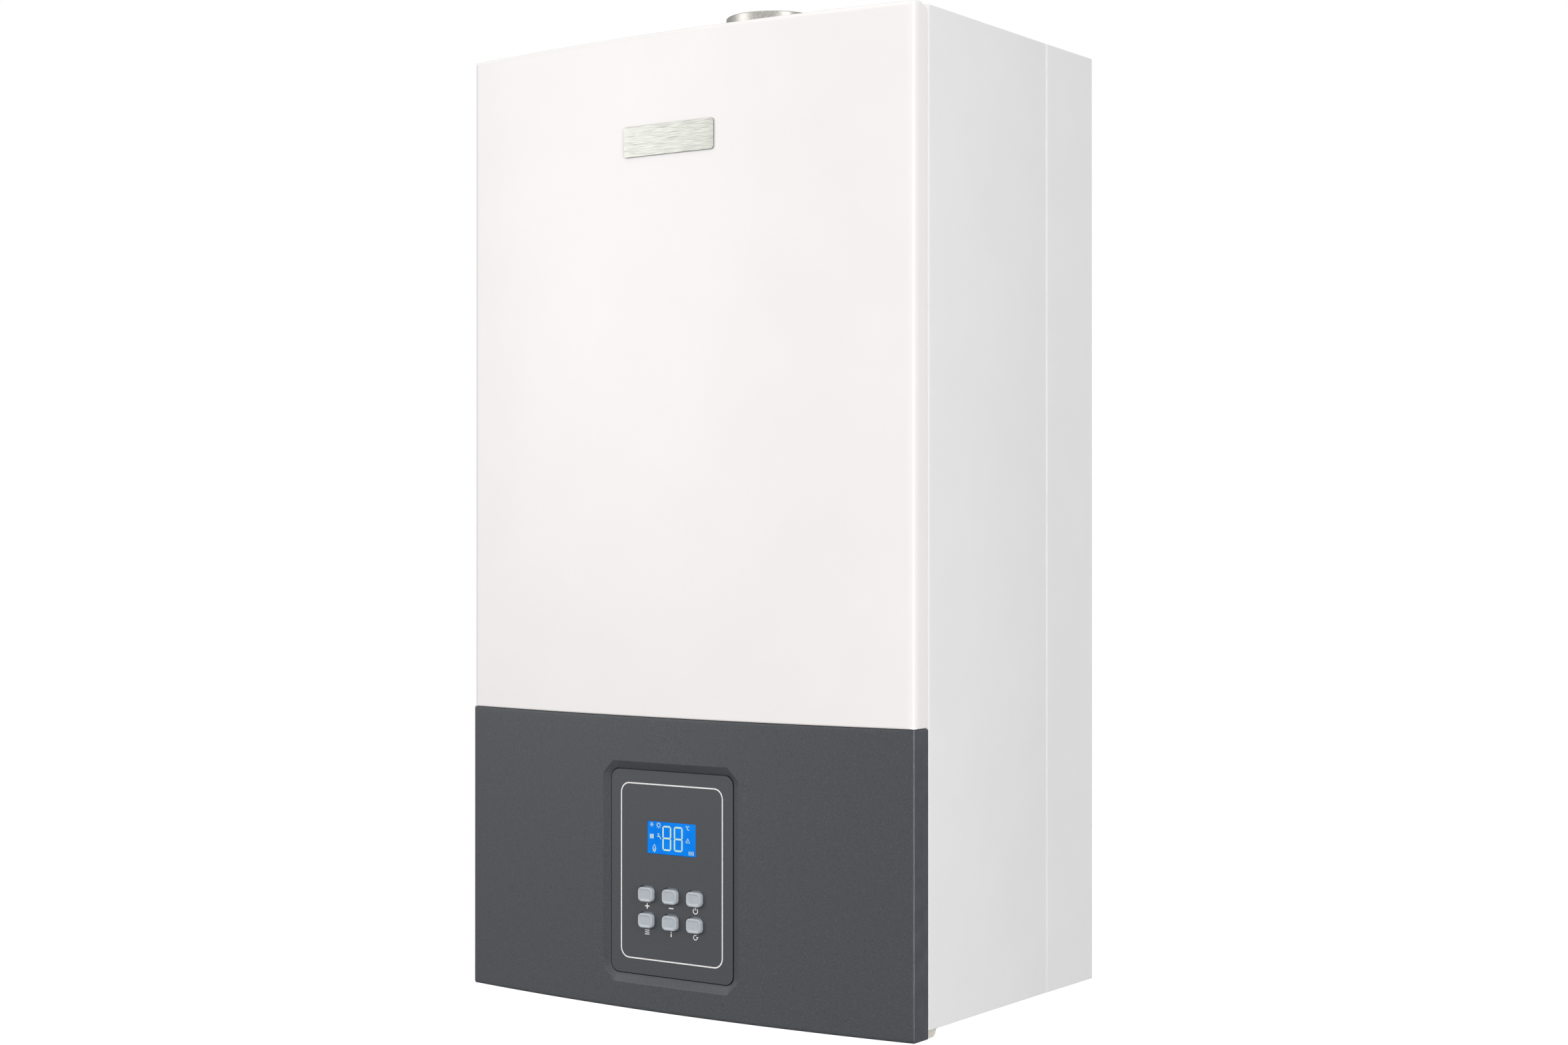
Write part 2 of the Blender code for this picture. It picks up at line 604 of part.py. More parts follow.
def control_box():
    """Box behind the fascia: open in front, posts inside, an ear on each side round the hinge pin."""
    front_y = bow_y(CASE_HALF, FASCIA_WALL) + CASE_FIT
    case = box(both(CASE_HALF), (front_y, CASE_REAR_Y), (CASE_BOTTOM_Z, CASE_TOP_Z))
    cut(case, box(both(CASE_HALF - EAR_THICK), (front_y - OVERRUN, CASE_REAR_Y - CASE_WALL),
                  (CASE_BOTTOM_Z + CASE_WALL, CASE_TOP_Z - CASE_WALL)))
    ear = arc((HINGE_Y, HINGE_Z), EAR_RADIUS, 180, 360, 2 * ARC_STEPS)
    root_z = CASE_BOTTOM_Z + CASE_WALL / 2
    ear += [(HINGE_Y + EAR_RADIUS, root_z), (HINGE_Y - EAR_RADIUS, root_z)]
    for side in (-1, 1):
        inner, outer = side * (CASE_HALF - EAR_THICK), side * CASE_HALF
        join(case, prism(ear, "X", inner, outer))
    reach = CASE_HALF + OVERRUN
    cut(case, cylinder("X", (HINGE_Y, HINGE_Z), PIN_RADIUS + GAP, -reach, reach, SMALL_SIDES))
    back_y = CASE_REAR_Y - CASE_WALL
    for x, z in post_places():
        join(case, cylinder("Y", (x, z), POST_RADIUS, back_y - POST_LENGTH, back_y + CASE_WALL / 2,
                            SMALL_SIDES))
    return keep(case, "control_box", black)


def main_board():
    """Control board on the posts, with its transformer, relays and plug row."""
    back_y = CASE_REAR_Y - CASE_WALL - POST_LENGTH - GAP
    front_y = back_y - BOARD_THICK
    z = (CASE_BOTTOM_Z + MAIN_BOARD_INSET_Z, CASE_TOP_Z - MAIN_BOARD_INSET_Z)
    board = box(both(MAIN_BOARD_HALF), (front_y, back_y), z)
    height = z[1] - z[0]
    for x_shares, z_shares, tall_share in LUMP_SHARES.values():
        x = [share * MAIN_BOARD_HALF for share in x_shares]
        lump_z = [z[0] + share * height for share in z_shares]
        join(board, box(x, (front_y - LUMP_HEIGHT * tall_share, front_y + BOARD_THICK / 2), lump_z))
    return keep(board, "main_board", board_green)


def hinge_bracket(name, side):
    """Nylon bracket inside the side panel's foot, with the pin that the ear turns on."""
    y = (HINGE_Y - BRACKET_FRONT, HINGE_Y + BRACKET_REAR)
    low = HINGE_Z - BRACKET_DROP
    top = BOTTOM_Z - GAP
    foot = arc((y[0] + BRACKET_ROUND, low + BRACKET_ROUND), BRACKET_ROUND, 180, 270)
    foot += [(y[1], low), (y[1], top), (y[0], top)]
    bracket = prism(foot, "X", side * BRACKET_IN_X, side * BRACKET_OUT_X)
    block_x = sorted((side * BRACKET_IN_X, side * SLIDE_IN))
    block_y = (PANEL_FRONT_Y + SHEET + GAP, y[1])
    join(bracket, box(block_x, block_y, (top - BRACKET_OVERLAP, BOTTOM_Z + BRACKET_RISE)))
    pin_end = side * (BRACKET_IN_X - PIN_LENGTH)
    pin_root = side * (BRACKET_IN_X + BRACKET_OUT_X) / 2
    join(bracket, cylinder("X", (HINGE_Y, HINGE_Z), PIN_RADIUS, pin_end, pin_root, SMALL_SIDES))
    return keep(bracket, name, nylon)


back_frame()
side_panel("side_panel_left", -1)
side_panel("side_panel_right", 1)
top_panel()
bottom_plate()
cable_gland()
front_cover()
name_plate()
control_fascia()
control_plate()
for key_name, (key_column, key_row) in KEYS.items():
    key(key_name, key_column, key_row)
display()
control_box()
main_board()
hinge_bracket("hinge_bracket_left", -1)
hinge_bracket("hinge_bracket_right", 1)

# Combustion chamber: sheet box, cover and window
CHAMBER_SET_BACK = 0.0127
CHAMBER_FRONT_Y = RETURN_Y + CHAMBER_SET_BACK
VALVE_SPACE = 0.170
CHAMBER_FLOOR_Z = CASE_TOP_Z + VALVE_SPACE
CHAMBER_DROP = 0.020
CHAMBER_TOP_Z = TOP_Z - CHAMBER_DROP
PIPE_RADIUS = 0.009
PIPE_OFFSET = 0.020
PIPE_X = RETURN_X + PIPE_OFFSET
PIPE_FORWARD = 0.032
PIPE_Y = STUB_Y - PIPE_FORWARD
PIPE_FIT = 0.0005
GAS_PIPE_RADIUS = 0.007
GAS_PIPE_SET_BACK = 0.009
GAS_PIPE_Y = CHAMBER_FRONT_Y + GAS_PIPE_SET_BACK
SIGHT_RADIUS = 0.014
SIGHT_X = 0.060
SIGHT_RISE = 0.050
SIGHT_Z = CHAMBER_FLOOR_Z + SIGHT_RISE
CHAMBER_BASE_Z = CHAMBER_FLOOR_Z + SHEET + GAP
STACK_DRAWN = 0.340
STACK_SCALE = (CHAMBER_TOP_Z - CHAMBER_FLOOR_Z) / STACK_DRAWN

# Burner, gas manifold, insulated box, heat exchanger and hood, stacked on each other; their heights and
# the fan's are drawn for a chamber as tall as STACK_DRAWN and grow with it
LINING_TO_PIPE = 0.016
BURNER_INSET = 0.015
BURNER_FRONT_INSET = 0.003
BURNER_REAR_INSET = 0.005
LINING_FRONT_SPACE = 0.015
LINING_REAR_SPACE = 0.0297
LINING_FRONT_Y = CHAMBER_FRONT_Y + LINING_FRONT_SPACE
LINING_REAR_Y = PANEL_REAR_Y - LINING_REAR_SPACE
LINING_HALF = PIPE_X - PIPE_RADIUS - LINING_TO_PIPE
BURNER_HALF = LINING_HALF - BURNER_INSET
BURNER_FRONT_Y = LINING_FRONT_Y + BURNER_FRONT_INSET
BURNER_REAR_Y = LINING_REAR_Y - BURNER_REAR_INSET
BURNER_HEIGHT = 0.0465 * STACK_SCALE
BURNER_TOP_Z = CHAMBER_BASE_Z + BURNER_HEIGHT
BURNER_FOOT = 0.018
BURNER_FOOT_WIDTH = 0.012
BURNER_SLOTS = 10
SLOT_WIDTH = 0.005
BURNER_WALL = 0.004
MANIFOLD_RISE = 0.0185 * STACK_SCALE
MANIFOLD_Z = CHAMBER_BASE_Z + MANIFOLD_RISE
NOZZLE_RADIUS = 0.0025
MANIFOLD_END = 0.006
LINING_WALL = 0.010
LINING_HEIGHT = 0.080 * STACK_SCALE
LINING_TOP_Z = BURNER_TOP_Z + LINING_HEIGHT
ELECTRODE_X = 0.030
ELECTRODE_RISE = 0.012
ELECTRODE_Z = BURNER_TOP_Z + ELECTRODE_RISE
ELECTRODE_RADIUS = 0.0035
ELECTRODE_COLLAR = 0.006
ELECTRODE_COLLAR_LENGTH = 0.004
ELECTRODE_OUT = 0.010
ELECTRODE_IN = 0.020
ELECTRODE_TIP = 0.015
ELECTRODE_WIRE = 0.001
EXCHANGER_INSET = 0.007
EXCHANGER_HALF = LINING_HALF - EXCHANGER_INSET
EXCHANGER_HEIGHT = 0.050 * STACK_SCALE
EXCHANGER_TOP_Z = LINING_TOP_Z + EXCHANGER_HEIGHT
EXCHANGER_EDGE = 0.003
FIN_SLOTS = 24
FIN_SLOT_WIDTH = 0.006
HOOD_HEIGHT = 0.047 * STACK_SCALE
HOOD_TOP_Z = EXCHANGER_TOP_Z + HOOD_HEIGHT
RISER_HALF = 0.045
RISER_RISE = 0.095 * STACK_SCALE
RISER_TOP_Z = HOOD_TOP_Z + RISER_RISE
RISER_DEPTH = 0.0277
FAN_DEPTH = 0.056
RISER_FRONT_Y = FLUE_Y + FAN_DEPTH / 2 + GAP
RISER_REAR_Y = RISER_FRONT_Y + RISER_DEPTH

# Fan: housing with its outlet under the flue collar
FAN_SEAT = 0.0005
FAN_RADIUS = 0.0495 * STACK_SCALE
FAN_Z = HOOD_TOP_Z + FAN_SEAT + FAN_RADIUS
FAN_FRONT_Y = FLUE_Y - FAN_DEPTH / 2
FAN_WALL = 0.0015
FAN_REAR_Y = FLUE_Y + FAN_DEPTH / 2
FAN_INLET = 0.028 * STACK_SCALE
FAN_OUTLET_HALF = 0.034
FAN_OUTLET_RISE = 0.053 * STACK_SCALE
FAN_OUTLET_TOP_Z = FAN_Z + FAN_OUTLET_RISE
WHEEL_WALL = 0.004
WHEEL_FIT = 0.006
WHEEL_RADIUS = FAN_RADIUS - FAN_WALL - WHEEL_FIT
SHAFT_RADIUS = 0.004
SHAFT_LENGTH = 0.016
SHAFT_HOLE = 0.006
FAN_MOTOR_RADIUS = 0.030
FAN_MOTOR_LENGTH = 0.036
WHEEL_BLADES = 12
BLADE_DEPTH = 0.004
SWITCH_RADIUS = 0.030
SWITCH_DEPTH = 0.026
SWITCH_PORT = 0.004
SWITCH_PORT_LENGTH = 0.010


def chamber_box():
    """Sealed steel box, open in front, with holes for the flue collar, two water pipes and the gas."""
    chamber = box(both(SLIDE_IN), (CHAMBER_FRONT_Y, PANEL_REAR_Y), (CHAMBER_FLOOR_Z, CHAMBER_TOP_Z))
    cut(chamber, box(both(SLIDE_IN - SHEET), (CHAMBER_FRONT_Y - OVERRUN, PANEL_REAR_Y - SHEET),
                     (CHAMBER_FLOOR_Z + SHEET, CHAMBER_TOP_Z - SHEET)))
    cut(chamber, cylinder("Z", (0, FLUE_Y), FLUE_RADIUS + FLUE_FIT,
                          CHAMBER_TOP_Z - SHEET - OVERRUN, CHAMBER_TOP_Z + OVERRUN))
    holes = [(-PIPE_X, PIPE_Y, PIPE_RADIUS), (PIPE_X, PIPE_Y, PIPE_RADIUS), (0, GAS_PIPE_Y, GAS_PIPE_RADIUS)]
    for x, y, radius in holes:
        cut(chamber, cylinder("Z", (x, y), radius + PIPE_FIT, CHAMBER_FLOOR_Z - OVERRUN,
                              CHAMBER_BASE_Z + OVERRUN, SMALL_SIDES))
    return keep(chamber, "chamber_box", galvanised)


def chamber_cover():
    """Flat sheet on the chamber's front edge, with a round window over the flame."""
    y = (CHAMBER_FRONT_Y - GAP - SHEET, CHAMBER_FRONT_Y - GAP)
    cover = box(both(SLIDE_IN), y, (CHAMBER_FLOOR_Z, CHAMBER_TOP_Z))
    cut(cover, cylinder("Y", (SIGHT_X, SIGHT_Z), SIGHT_RADIUS + GAP, y[0] - OVERRUN, y[1] + OVERRUN))
    keep(cover, "chamber_cover", galvanised)
    return keep(cylinder("Y", (SIGHT_X, SIGHT_Z), SIGHT_RADIUS, *y), "sight_glass", clear_glass, True)


def burner():
    """Burner head on two feet, hollow below, with slots through its top."""
    y = (BURNER_FRONT_Y, BURNER_REAR_Y)
    head = box(both(BURNER_HALF), y, (CHAMBER_BASE_Z, BURNER_TOP_Z))
    inner = BURNER_HALF - BURNER_FOOT_WIDTH
    cut(head, box(both(inner), (y[0] - OVERRUN, y[1] + OVERRUN),
                  (CHAMBER_BASE_Z - OVERRUN, CHAMBER_BASE_Z + BURNER_FOOT)))
    slot_y = (y[0] + BURNER_WALL, y[1] - BURNER_WALL)
    cut(head, box(both(inner), slot_y, (CHAMBER_BASE_Z + BURNER_FOOT - OVERRUN, BURNER_TOP_Z - BURNER_WALL)))
    pitch = 2 * inner / BURNER_SLOTS
    for i in range(BURNER_SLOTS):
        x = around(-inner + pitch * (i + 1 / 2), SLOT_WIDTH / 2)
        cut(head, box(x, (slot_y[0] + BURNER_WALL, slot_y[1] - BURNER_WALL),
                      (BURNER_TOP_Z - BURNER_WALL - OVERRUN, BURNER_TOP_Z + OVERRUN)))
    return keep(head, "burner", stainless)


def gas_manifold():
    """Tube in front of the burner with a row of nozzles that point at it."""
    reach = BURNER_HALF - MANIFOLD_END
    tube = cylinder("X", (GAS_PIPE_Y, MANIFOLD_Z), GAS_PIPE_RADIUS, -reach, reach, SMALL_SIDES)
    pitch = 2 * (BURNER_HALF - BURNER_FOOT_WIDTH) / BURNER_SLOTS
    for i in range(BURNER_SLOTS):
        x = pitch * (i + 1 / 2 - BURNER_SLOTS / 2)
        join(tube, cylinder("Y", (x, MANIFOLD_Z), NOZZLE_RADIUS, GAS_PIPE_Y, BURNER_FRONT_Y - GAP,
                            SMALL_SIDES))
    return keep(tube, "gas_manifold", brass, True)


def combustion_box():
    """Insulated frame between burner and heat exchanger, with two electrode holes."""
    y = (LINING_FRONT_Y, LINING_REAR_Y)
    z = (BURNER_TOP_Z + GAP, LINING_TOP_Z)
    lining = box(both(LINING_HALF), y, z)
    cut(lining, box(both(LINING_HALF - LINING_WALL), (y[0] + LINING_WALL, y[1] - LINING_WALL),
                    (z[0] - OVERRUN, z[1] + OVERRUN)))
    for side in (-1, 1):
        cut(lining, cylinder("Y", (side * ELECTRODE_X, ELECTRODE_Z), ELECTRODE_RADIUS + GAP,
                             y[0] - OVERRUN, y[0] + LINING_WALL + OVERRUN, SMALL_SIDES))
    return keep(lining, "combustion_box", fibre)


def electrode(name, side):
    """Ceramic rod through the lining with a collar outside and a wire tip over the burner."""
    centre = (side * ELECTRODE_X, ELECTRODE_Z)
    face = LINING_FRONT_Y - GAP
    rod = cylinder("Y", centre, ELECTRODE_RADIUS, face - ELECTRODE_OUT, face + ELECTRODE_IN, SMALL_SIDES)
    join(rod, cylinder("Y", centre, ELECTRODE_COLLAR, face - ELECTRODE_COLLAR_LENGTH, face, SMALL_SIDES))
    join(rod, cylinder("Y", centre, ELECTRODE_WIRE, face, face + ELECTRODE_IN + ELECTRODE_TIP, SMALL_SIDES))
    return keep(rod, name, ceramic, True)


def heat_exchanger():
    """Copper block whose fins stand between slots that run right through it."""
    y = (LINING_FRONT_Y + EXCHANGER_EDGE, LINING_REAR_Y - EXCHANGER_EDGE)
    z = (LINING_TOP_Z + GAP, EXCHANGER_TOP_Z)
    block = box(both(EXCHANGER_HALF), y, z)
    pitch = 2 * (EXCHANGER_HALF - LINING_WALL) / FIN_SLOTS
    for i in range(FIN_SLOTS):
        x = around(pitch * (i + 1 / 2 - FIN_SLOTS / 2), FIN_SLOT_WIDTH / 2)
        slot_y = (y[0] + EXCHANGER_EDGE, y[1] - EXCHANGER_EDGE)
        cut(block, box(x, slot_y, (z[0] - OVERRUN, z[1] + OVERRUN)))
    return keep(block, "heat_exchanger", copper)


def flue_hood():
    """Sheet hood over the heat exchanger with a riser behind the fan and a round way into it."""
    y = (LINING_FRONT_Y + EXCHANGER_EDGE, RISER_REAR_Y)
    z = (EXCHANGER_TOP_Z + GAP, HOOD_TOP_Z)
    hood = box(both(EXCHANGER_HALF), y, z)
    join(hood, box(both(RISER_HALF), (RISER_FRONT_Y, RISER_REAR_Y), (HOOD_TOP_Z - OVERRUN, RISER_TOP_Z)))
    cut(hood, box(both(EXCHANGER_HALF - SHEET), (y[0] + SHEET, y[1] - SHEET), (z[0] - OVERRUN, z[1] - SHEET)))
    cut(hood, box(both(RISER_HALF - SHEET), (RISER_FRONT_Y + SHEET, RISER_REAR_Y - SHEET),
                  (HOOD_TOP_Z - SHEET - OVERRUN, RISER_TOP_Z - SHEET)))
    cut(hood, cylinder("Y", (0, FAN_Z), FAN_INLET, RISER_FRONT_Y - OVERRUN, RISER_FRONT_Y + SHEET + OVERRUN))
    return keep(hood, "flue_hood", galvanised)


def fan_shape(inset, y, top):
    """Round housing with its outlet upwards, moved in by inset."""
    shell = cylinder("Y", (0, FAN_Z), FAN_RADIUS - inset, *y)
    return join(shell, box(both(FAN_OUTLET_HALF - inset), y, (FAN_Z, top)))


def fan_housing():
    """Hollow housing: outlet into the flue collar, inlet behind, shaft hole in front."""
    y = (FAN_FRONT_Y, FAN_REAR_Y)
    housing = fan_shape(0, y, FAN_OUTLET_TOP_Z)
    cut(housing, fan_shape(FAN_WALL, (y[0] + FAN_WALL, y[1] - FAN_WALL), FAN_OUTLET_TOP_Z + OVERRUN))
    cut(housing, cylinder("Y", (0, FAN_Z), FAN_INLET, y[1] - FAN_WALL - OVERRUN, y[1] + OVERRUN))
    cut(housing, cylinder("Y", (0, FAN_Z), SHAFT_HOLE, y[0] - OVERRUN, y[0] + FAN_WALL + OVERRUN,
                          SMALL_SIDES))
    return keep(housing, "fan_housing", cast, True)


def fan_wheel():
    """Bladed cup on a shaft that reaches into the motor."""
    front = FAN_FRONT_Y + FAN_WALL + WHEEL_FIT
    rear = FAN_REAR_Y - FAN_WALL - WHEEL_FIT
    wheel = prism(lobed((0, FAN_Z), WHEEL_RADIUS, BLADE_DEPTH, WHEEL_BLADES), "Y", front, rear)
    cut(wheel, cylinder("Y", (0, FAN_Z), WHEEL_RADIUS - 2 * BLADE_DEPTH, front + WHEEL_WALL, rear + OVERRUN))
    join(wheel, cylinder("Y", (0, FAN_Z), SHAFT_RADIUS, FAN_FRONT_Y - SHAFT_LENGTH,
                         front + WHEEL_WALL / 2, SMALL_SIDES))
    return keep(wheel, "fan_wheel", galvanised, True)


def fan_motor():
    """Motor on the front of the fan housing, bored for the shaft."""
    rear = FAN_FRONT_Y - GAP
    motor = cylinder("Y", (0, FAN_Z), FAN_MOTOR_RADIUS, rear - FAN_MOTOR_LENGTH, rear)
    soften(motor, WHEEL_WALL)
    cut(motor, cylinder("Y", (0, FAN_Z), SHAFT_RADIUS + GAP, rear - SHAFT_LENGTH - OVERRUN,
                        rear + OVERRUN, SMALL_SIDES))
    return keep(motor, "fan_motor", black, True)


def flue_collar():
    """Steel tube from the fan outlet up through chamber and top panel."""
    z = (FAN_OUTLET_TOP_Z + GAP, TOP_Z + FLUE_RISE)
    collar = cylinder("Z", (0, FLUE_Y), FLUE_RADIUS, *z)
    cut(collar, cylinder("Z", (0, FLUE_Y), FLUE_RADIUS - FLUE_WALL, z[0] - OVERRUN, z[1] + OVERRUN))
    return keep(collar, "flue_collar", stainless, True)


def air_pressure_switch():
    """Round switch on the chamber's left wall with two hose ports."""
    wall = -(SLIDE_IN - SHEET - GAP)
    case = cylinder("X", (FLUE_Y, FAN_Z), SWITCH_RADIUS, wall, wall + SWITCH_DEPTH)
    soften(case, WHEEL_WALL)
    face = wall + SWITCH_DEPTH
    for side in (-1, 1):
        join(case, cylinder("X", (FLUE_Y + side * SWITCH_RADIUS / 2, FAN_Z), SWITCH_PORT,
                            face - SWITCH_PORT_LENGTH, face + SWITCH_PORT_LENGTH, SMALL_SIDES))
    return keep(case, "air_pressure_switch", black, True)


chamber_box()
chamber_cover()
burner()
gas_manifold()
combustion_box()
electrode("ignition_electrode", -1)
electrode("flame_electrode", 1)
heat_exchanger()
flue_hood()
fan_housing()
fan_wheel()
fan_motor()
flue_collar()
air_pressure_switch()

# Expansion vessel in the rear tray
VESSEL_MARGIN = 0.050
VESSEL_RADIUS = HALF_W - VESSEL_MARGIN
VESSEL_DROP = 0.025
VESSEL_Z = TOP_Z - VESSEL_DROP - VESSEL_RADIUS
VESSEL_FRONT_SPACE = 0.002
VESSEL_ROUND = 0.020
VESSEL_WALL = 0.002
VESSEL_PORT_RADIUS = 0.0035
VESSEL_PIPE_RADIUS = 0.005
VESSEL_PIPE_X = 0.060
VESSEL_PIPE_FALL = 0.050
VESSEL_PIPE_RISE = 0.050
VESSEL_PIPE_BEND = 0.014
VESSEL_REAR_Y = -SHEET - GAP
VESSEL_FRONT_Y = -(REAR_DEPTH - VESSEL_FRONT_SPACE)

# Gas valve and its inlet pipe
VALVE_HALF = 0.035
VALVE_FORWARD = 0.014
VALVE_DEPTH = 0.085
VALVE_FRONT_Y = GAS_PIPE_Y - VALVE_FORWARD
VALVE_REAR_Y = VALVE_FRONT_Y + VALVE_DEPTH
VALVE_DROP = 0.040
VALVE_HEIGHT = 0.100
VALVE_TOP_Z = CHAMBER_FLOOR_Z - VALVE_DROP
VALVE_BOTTOM_Z = VALVE_TOP_Z - VALVE_HEIGHT
VALVE_ROUND = 0.004
COIL_RADIUS = 0.013
COIL_LENGTH = 0.018
COIL_X = 0.017
COIL_DROP = 0.030
COIL_Z = VALVE_TOP_Z - COIL_DROP
INLET_SET_BACK = 0.055
INLET_TOP_Y = VALVE_FRONT_Y + INLET_SET_BACK
INLET_RUN = 0.040
INLET_FALL = 0.055
INLET_TURN_Z = VALVE_BOTTOM_Z - INLET_RUN
INLET_DOWN_Z = INLET_TURN_Z - INLET_FALL
INLET_BEND = 0.025
NUT_BORDER = 0.004
NUT_HEIGHT = 0.010
BORE_WALL = 0.0025
BORE_DEPTH = 0.010
NUT_SIDES = 6

# Water blocks on the connections, plate exchanger between them
BLOCK_HALF = 0.030
BLOCK_FORWARD = 0.055
BLOCK_BACK = 0.035
BLOCK_FRONT_Y = STUB_Y - BLOCK_FORWARD
BLOCK_REAR_Y = STUB_Y + BLOCK_BACK
BLOCK_RISE = 0.026
BLOCK_HEIGHT = 0.100
BLOCK_BOTTOM_Z = FLOOR_Z + BLOCK_RISE
BLOCK_TOP_Z = BLOCK_BOTTOM_Z + BLOCK_HEIGHT
VESSEL_PIPE_END_Z = BLOCK_BOTTOM_Z + VESSEL_PIPE_RISE
VESSEL_PIPE_TURN_Z = VESSEL_PIPE_END_Z + VESSEL_PIPE_FALL
BLOCK_ROUND = 0.003
BLOCK_X = (FLOW_X, RETURN_X)
PLATES_HALF = RETURN_X - BLOCK_HALF - GAP
PLATES_FORWARD = 0.017
PLATES_BACK = 0.037
PLATES_FRONT_Y = STUB_Y - PLATES_FORWARD
PLATES_REAR_Y = STUB_Y + PLATES_BACK
PLATES_RISE = 0.005
PLATES_HEIGHT = 0.070
PLATES_BOTTOM_Z = BLOCK_BOTTOM_Z + PLATES_RISE
PLATES_TOP_Z = PLATES_BOTTOM_Z + PLATES_HEIGHT
PLATE_GROOVES = 8
GROOVE_WIDTH = 0.002
GROOVE_DEPTH = 0.002
DIVERTER_RISE = 0.050
DIVERTER_Z = BLOCK_BOTTOM_Z + DIVERTER_RISE
DIVERTER_HALF = 0.018
DIVERTER_HEIGHT = 0.040
DIVERTER_DEPTH = 0.045
DIVERTER_FRONT_Y = BLOCK_FRONT_Y - DIVERTER_DEPTH
SPINDLE_RADIUS = 0.003
SPINDLE_TRAVEL = 0.008
SPINDLE_HALF = 0.022
SPINDLE_FREE = 0.002

# Pump over the return block
PUMP_RADIUS = 0.044
PUMP_SEAT = 0.001
PUMP_Z = BLOCK_TOP_Z + PUMP_SEAT + PUMP_RADIUS
PUMP_DEPTH = 0.045
PUMP_REAR_Y = BLOCK_FRONT_Y + PUMP_DEPTH
PUMP_POCKET = 0.034
PUMP_BACK_WALL = 0.007
PUMP_FOOT_HALF = 0.025
PUMP_FOOT_INSET = 0.005
PUMP_OUT_HALF = 0.012
PUMP_OUT_RISE = 0.013
PUMP_OUT_TOP_Z = PUMP_Z + PUMP_RADIUS + PUMP_OUT_RISE
VENT_OFFSET = 0.025
VENT_X = RETURN_X - VENT_OFFSET
VENT_RADIUS = 0.008
VENT_RISE = 0.023
VENT_ROOT_RISE = 0.025
VENT_TOP_Z = PUMP_Z + PUMP_RADIUS + VENT_RISE
VENT_ROOT_Z = PUMP_Z + VENT_ROOT_RISE
PUMP_MOTOR_RADIUS = 0.042
PUMP_MOTOR_CLEARANCE = 0.005
PUMP_MOTOR_FRONT_Y = CASE_REAR_Y + PUMP_MOTOR_CLEARANCE
PUMP_MOTOR_ROUND = 0.006
IMPELLER_RADIUS = 0.028
IMPELLER_DEPTH = 0.003
IMPELLER_BLADES = 7
IMPELLER_THICK = 0.015
IMPELLER_REAR_SPACE = 0.020
IMPELLER_REAR_Y = PUMP_REAR_Y - IMPELLER_REAR_SPACE
PUMP_SHAFT_IN = 0.015
RISER_END_Z = (EXCHANGER_TOP_Z + LINING_TOP_Z) / 2
RISER_BEND = 0.020

# Safety valve and filling tap
SAFETY_RISE = 0.040
SAFETY_Z = BLOCK_BOTTOM_Z + SAFETY_RISE
SAFETY_RADIUS = 0.012
SAFETY_LENGTH = 0.030
SAFETY_OUTLET = 0.006
SAFETY_OUTLET_DROP = 0.022
SAFETY_KNOB_RADIUS = 0.015
SAFETY_KNOB_LENGTH = 0.018
KNOB_DEPTH = 0.002
KNOB_LOBES = 6
TAP_DROP = 0.012
TAP_Z = FLOOR_Z - TAP_DROP
TAP_RADIUS = 0.006
TAP_REACH = 0.025
TAP_KNOB_RADIUS = 0.009
TAP_KNOB_LENGTH = 0.018


def vessel_shape(inset):
    """Flat round shape with soft edges, moved in by inset."""
    shape = cylinder("Y", (0, VESSEL_Z), VESSEL_RADIUS - inset, VESSEL_FRONT_Y + inset, VESSEL_REAR_Y - inset)
    return soften(shape, VESSEL_ROUND - inset)


def vessel_port():
    """Where the pipe meets the vessel's rim: depth and height."""
    near_edge = VESSEL_PIPE_X - VESSEL_PIPE_RADIUS
    return ((VESSEL_FRONT_Y + VESSEL_REAR_Y) / 2,
            VESSEL_Z - math.sqrt(VESSEL_RADIUS ** 2 - near_edge ** 2) - GAP)


def expansion_vessel():
    """Hollow steel vessel, standing in the rear tray behind the chamber, with a port below."""
    vessel = cut(vessel_shape(0), vessel_shape(VESSEL_WALL))
    y, port_z = vessel_port()
    cut(vessel, cylinder("Z", (VESSEL_PIPE_X, y), VESSEL_PORT_RADIUS, port_z - OVERRUN, VESSEL_Z, SMALL_SIDES))
    return keep(vessel, "expansion_vessel", red, True)


def vessel_pipe():
    """Thin pipe from the vessel's rim down the tray to the back of the return block."""
    y, top = vessel_port()
    corners = [(VESSEL_PIPE_X, y, top), (VESSEL_PIPE_X, y, VESSEL_PIPE_TURN_Z),
               (RETURN_X, y, VESSEL_PIPE_END_Z), (RETURN_X, BLOCK_REAR_Y + GAP, VESSEL_PIPE_END_Z)]
    return keep(pipe(bent(corners, VESSEL_PIPE_BEND), VESSEL_PIPE_RADIUS), "vessel_pipe", copper, True)


def gas_valve():
    """Cast valve body with two coils in front."""
    valve = box(both(VALVE_HALF), (VALVE_FRONT_Y, VALVE_REAR_Y), (VALVE_BOTTOM_Z, VALVE_TOP_Z))
    soften(valve, VALVE_ROUND)
    for side in (-1, 1):
        join(valve, cylinder("Y", (side * COIL_X, COIL_Z), COIL_RADIUS, VALVE_FRONT_Y - COIL_LENGTH,
                             VALVE_FRONT_Y + COIL_LENGTH))
    return keep(valve, "gas_valve", cast)


def gas_pipe():
    """Short pipe from the valve up into the chamber, below the manifold."""
    z = (VALVE_TOP_Z + GAP, MANIFOLD_Z - GAS_PIPE_RADIUS - GAP)
    return keep(cylinder("Z", (0, GAS_PIPE_Y), GAS_PIPE_RADIUS, *z, SMALL_SIDES), "gas_pipe", copper, True)


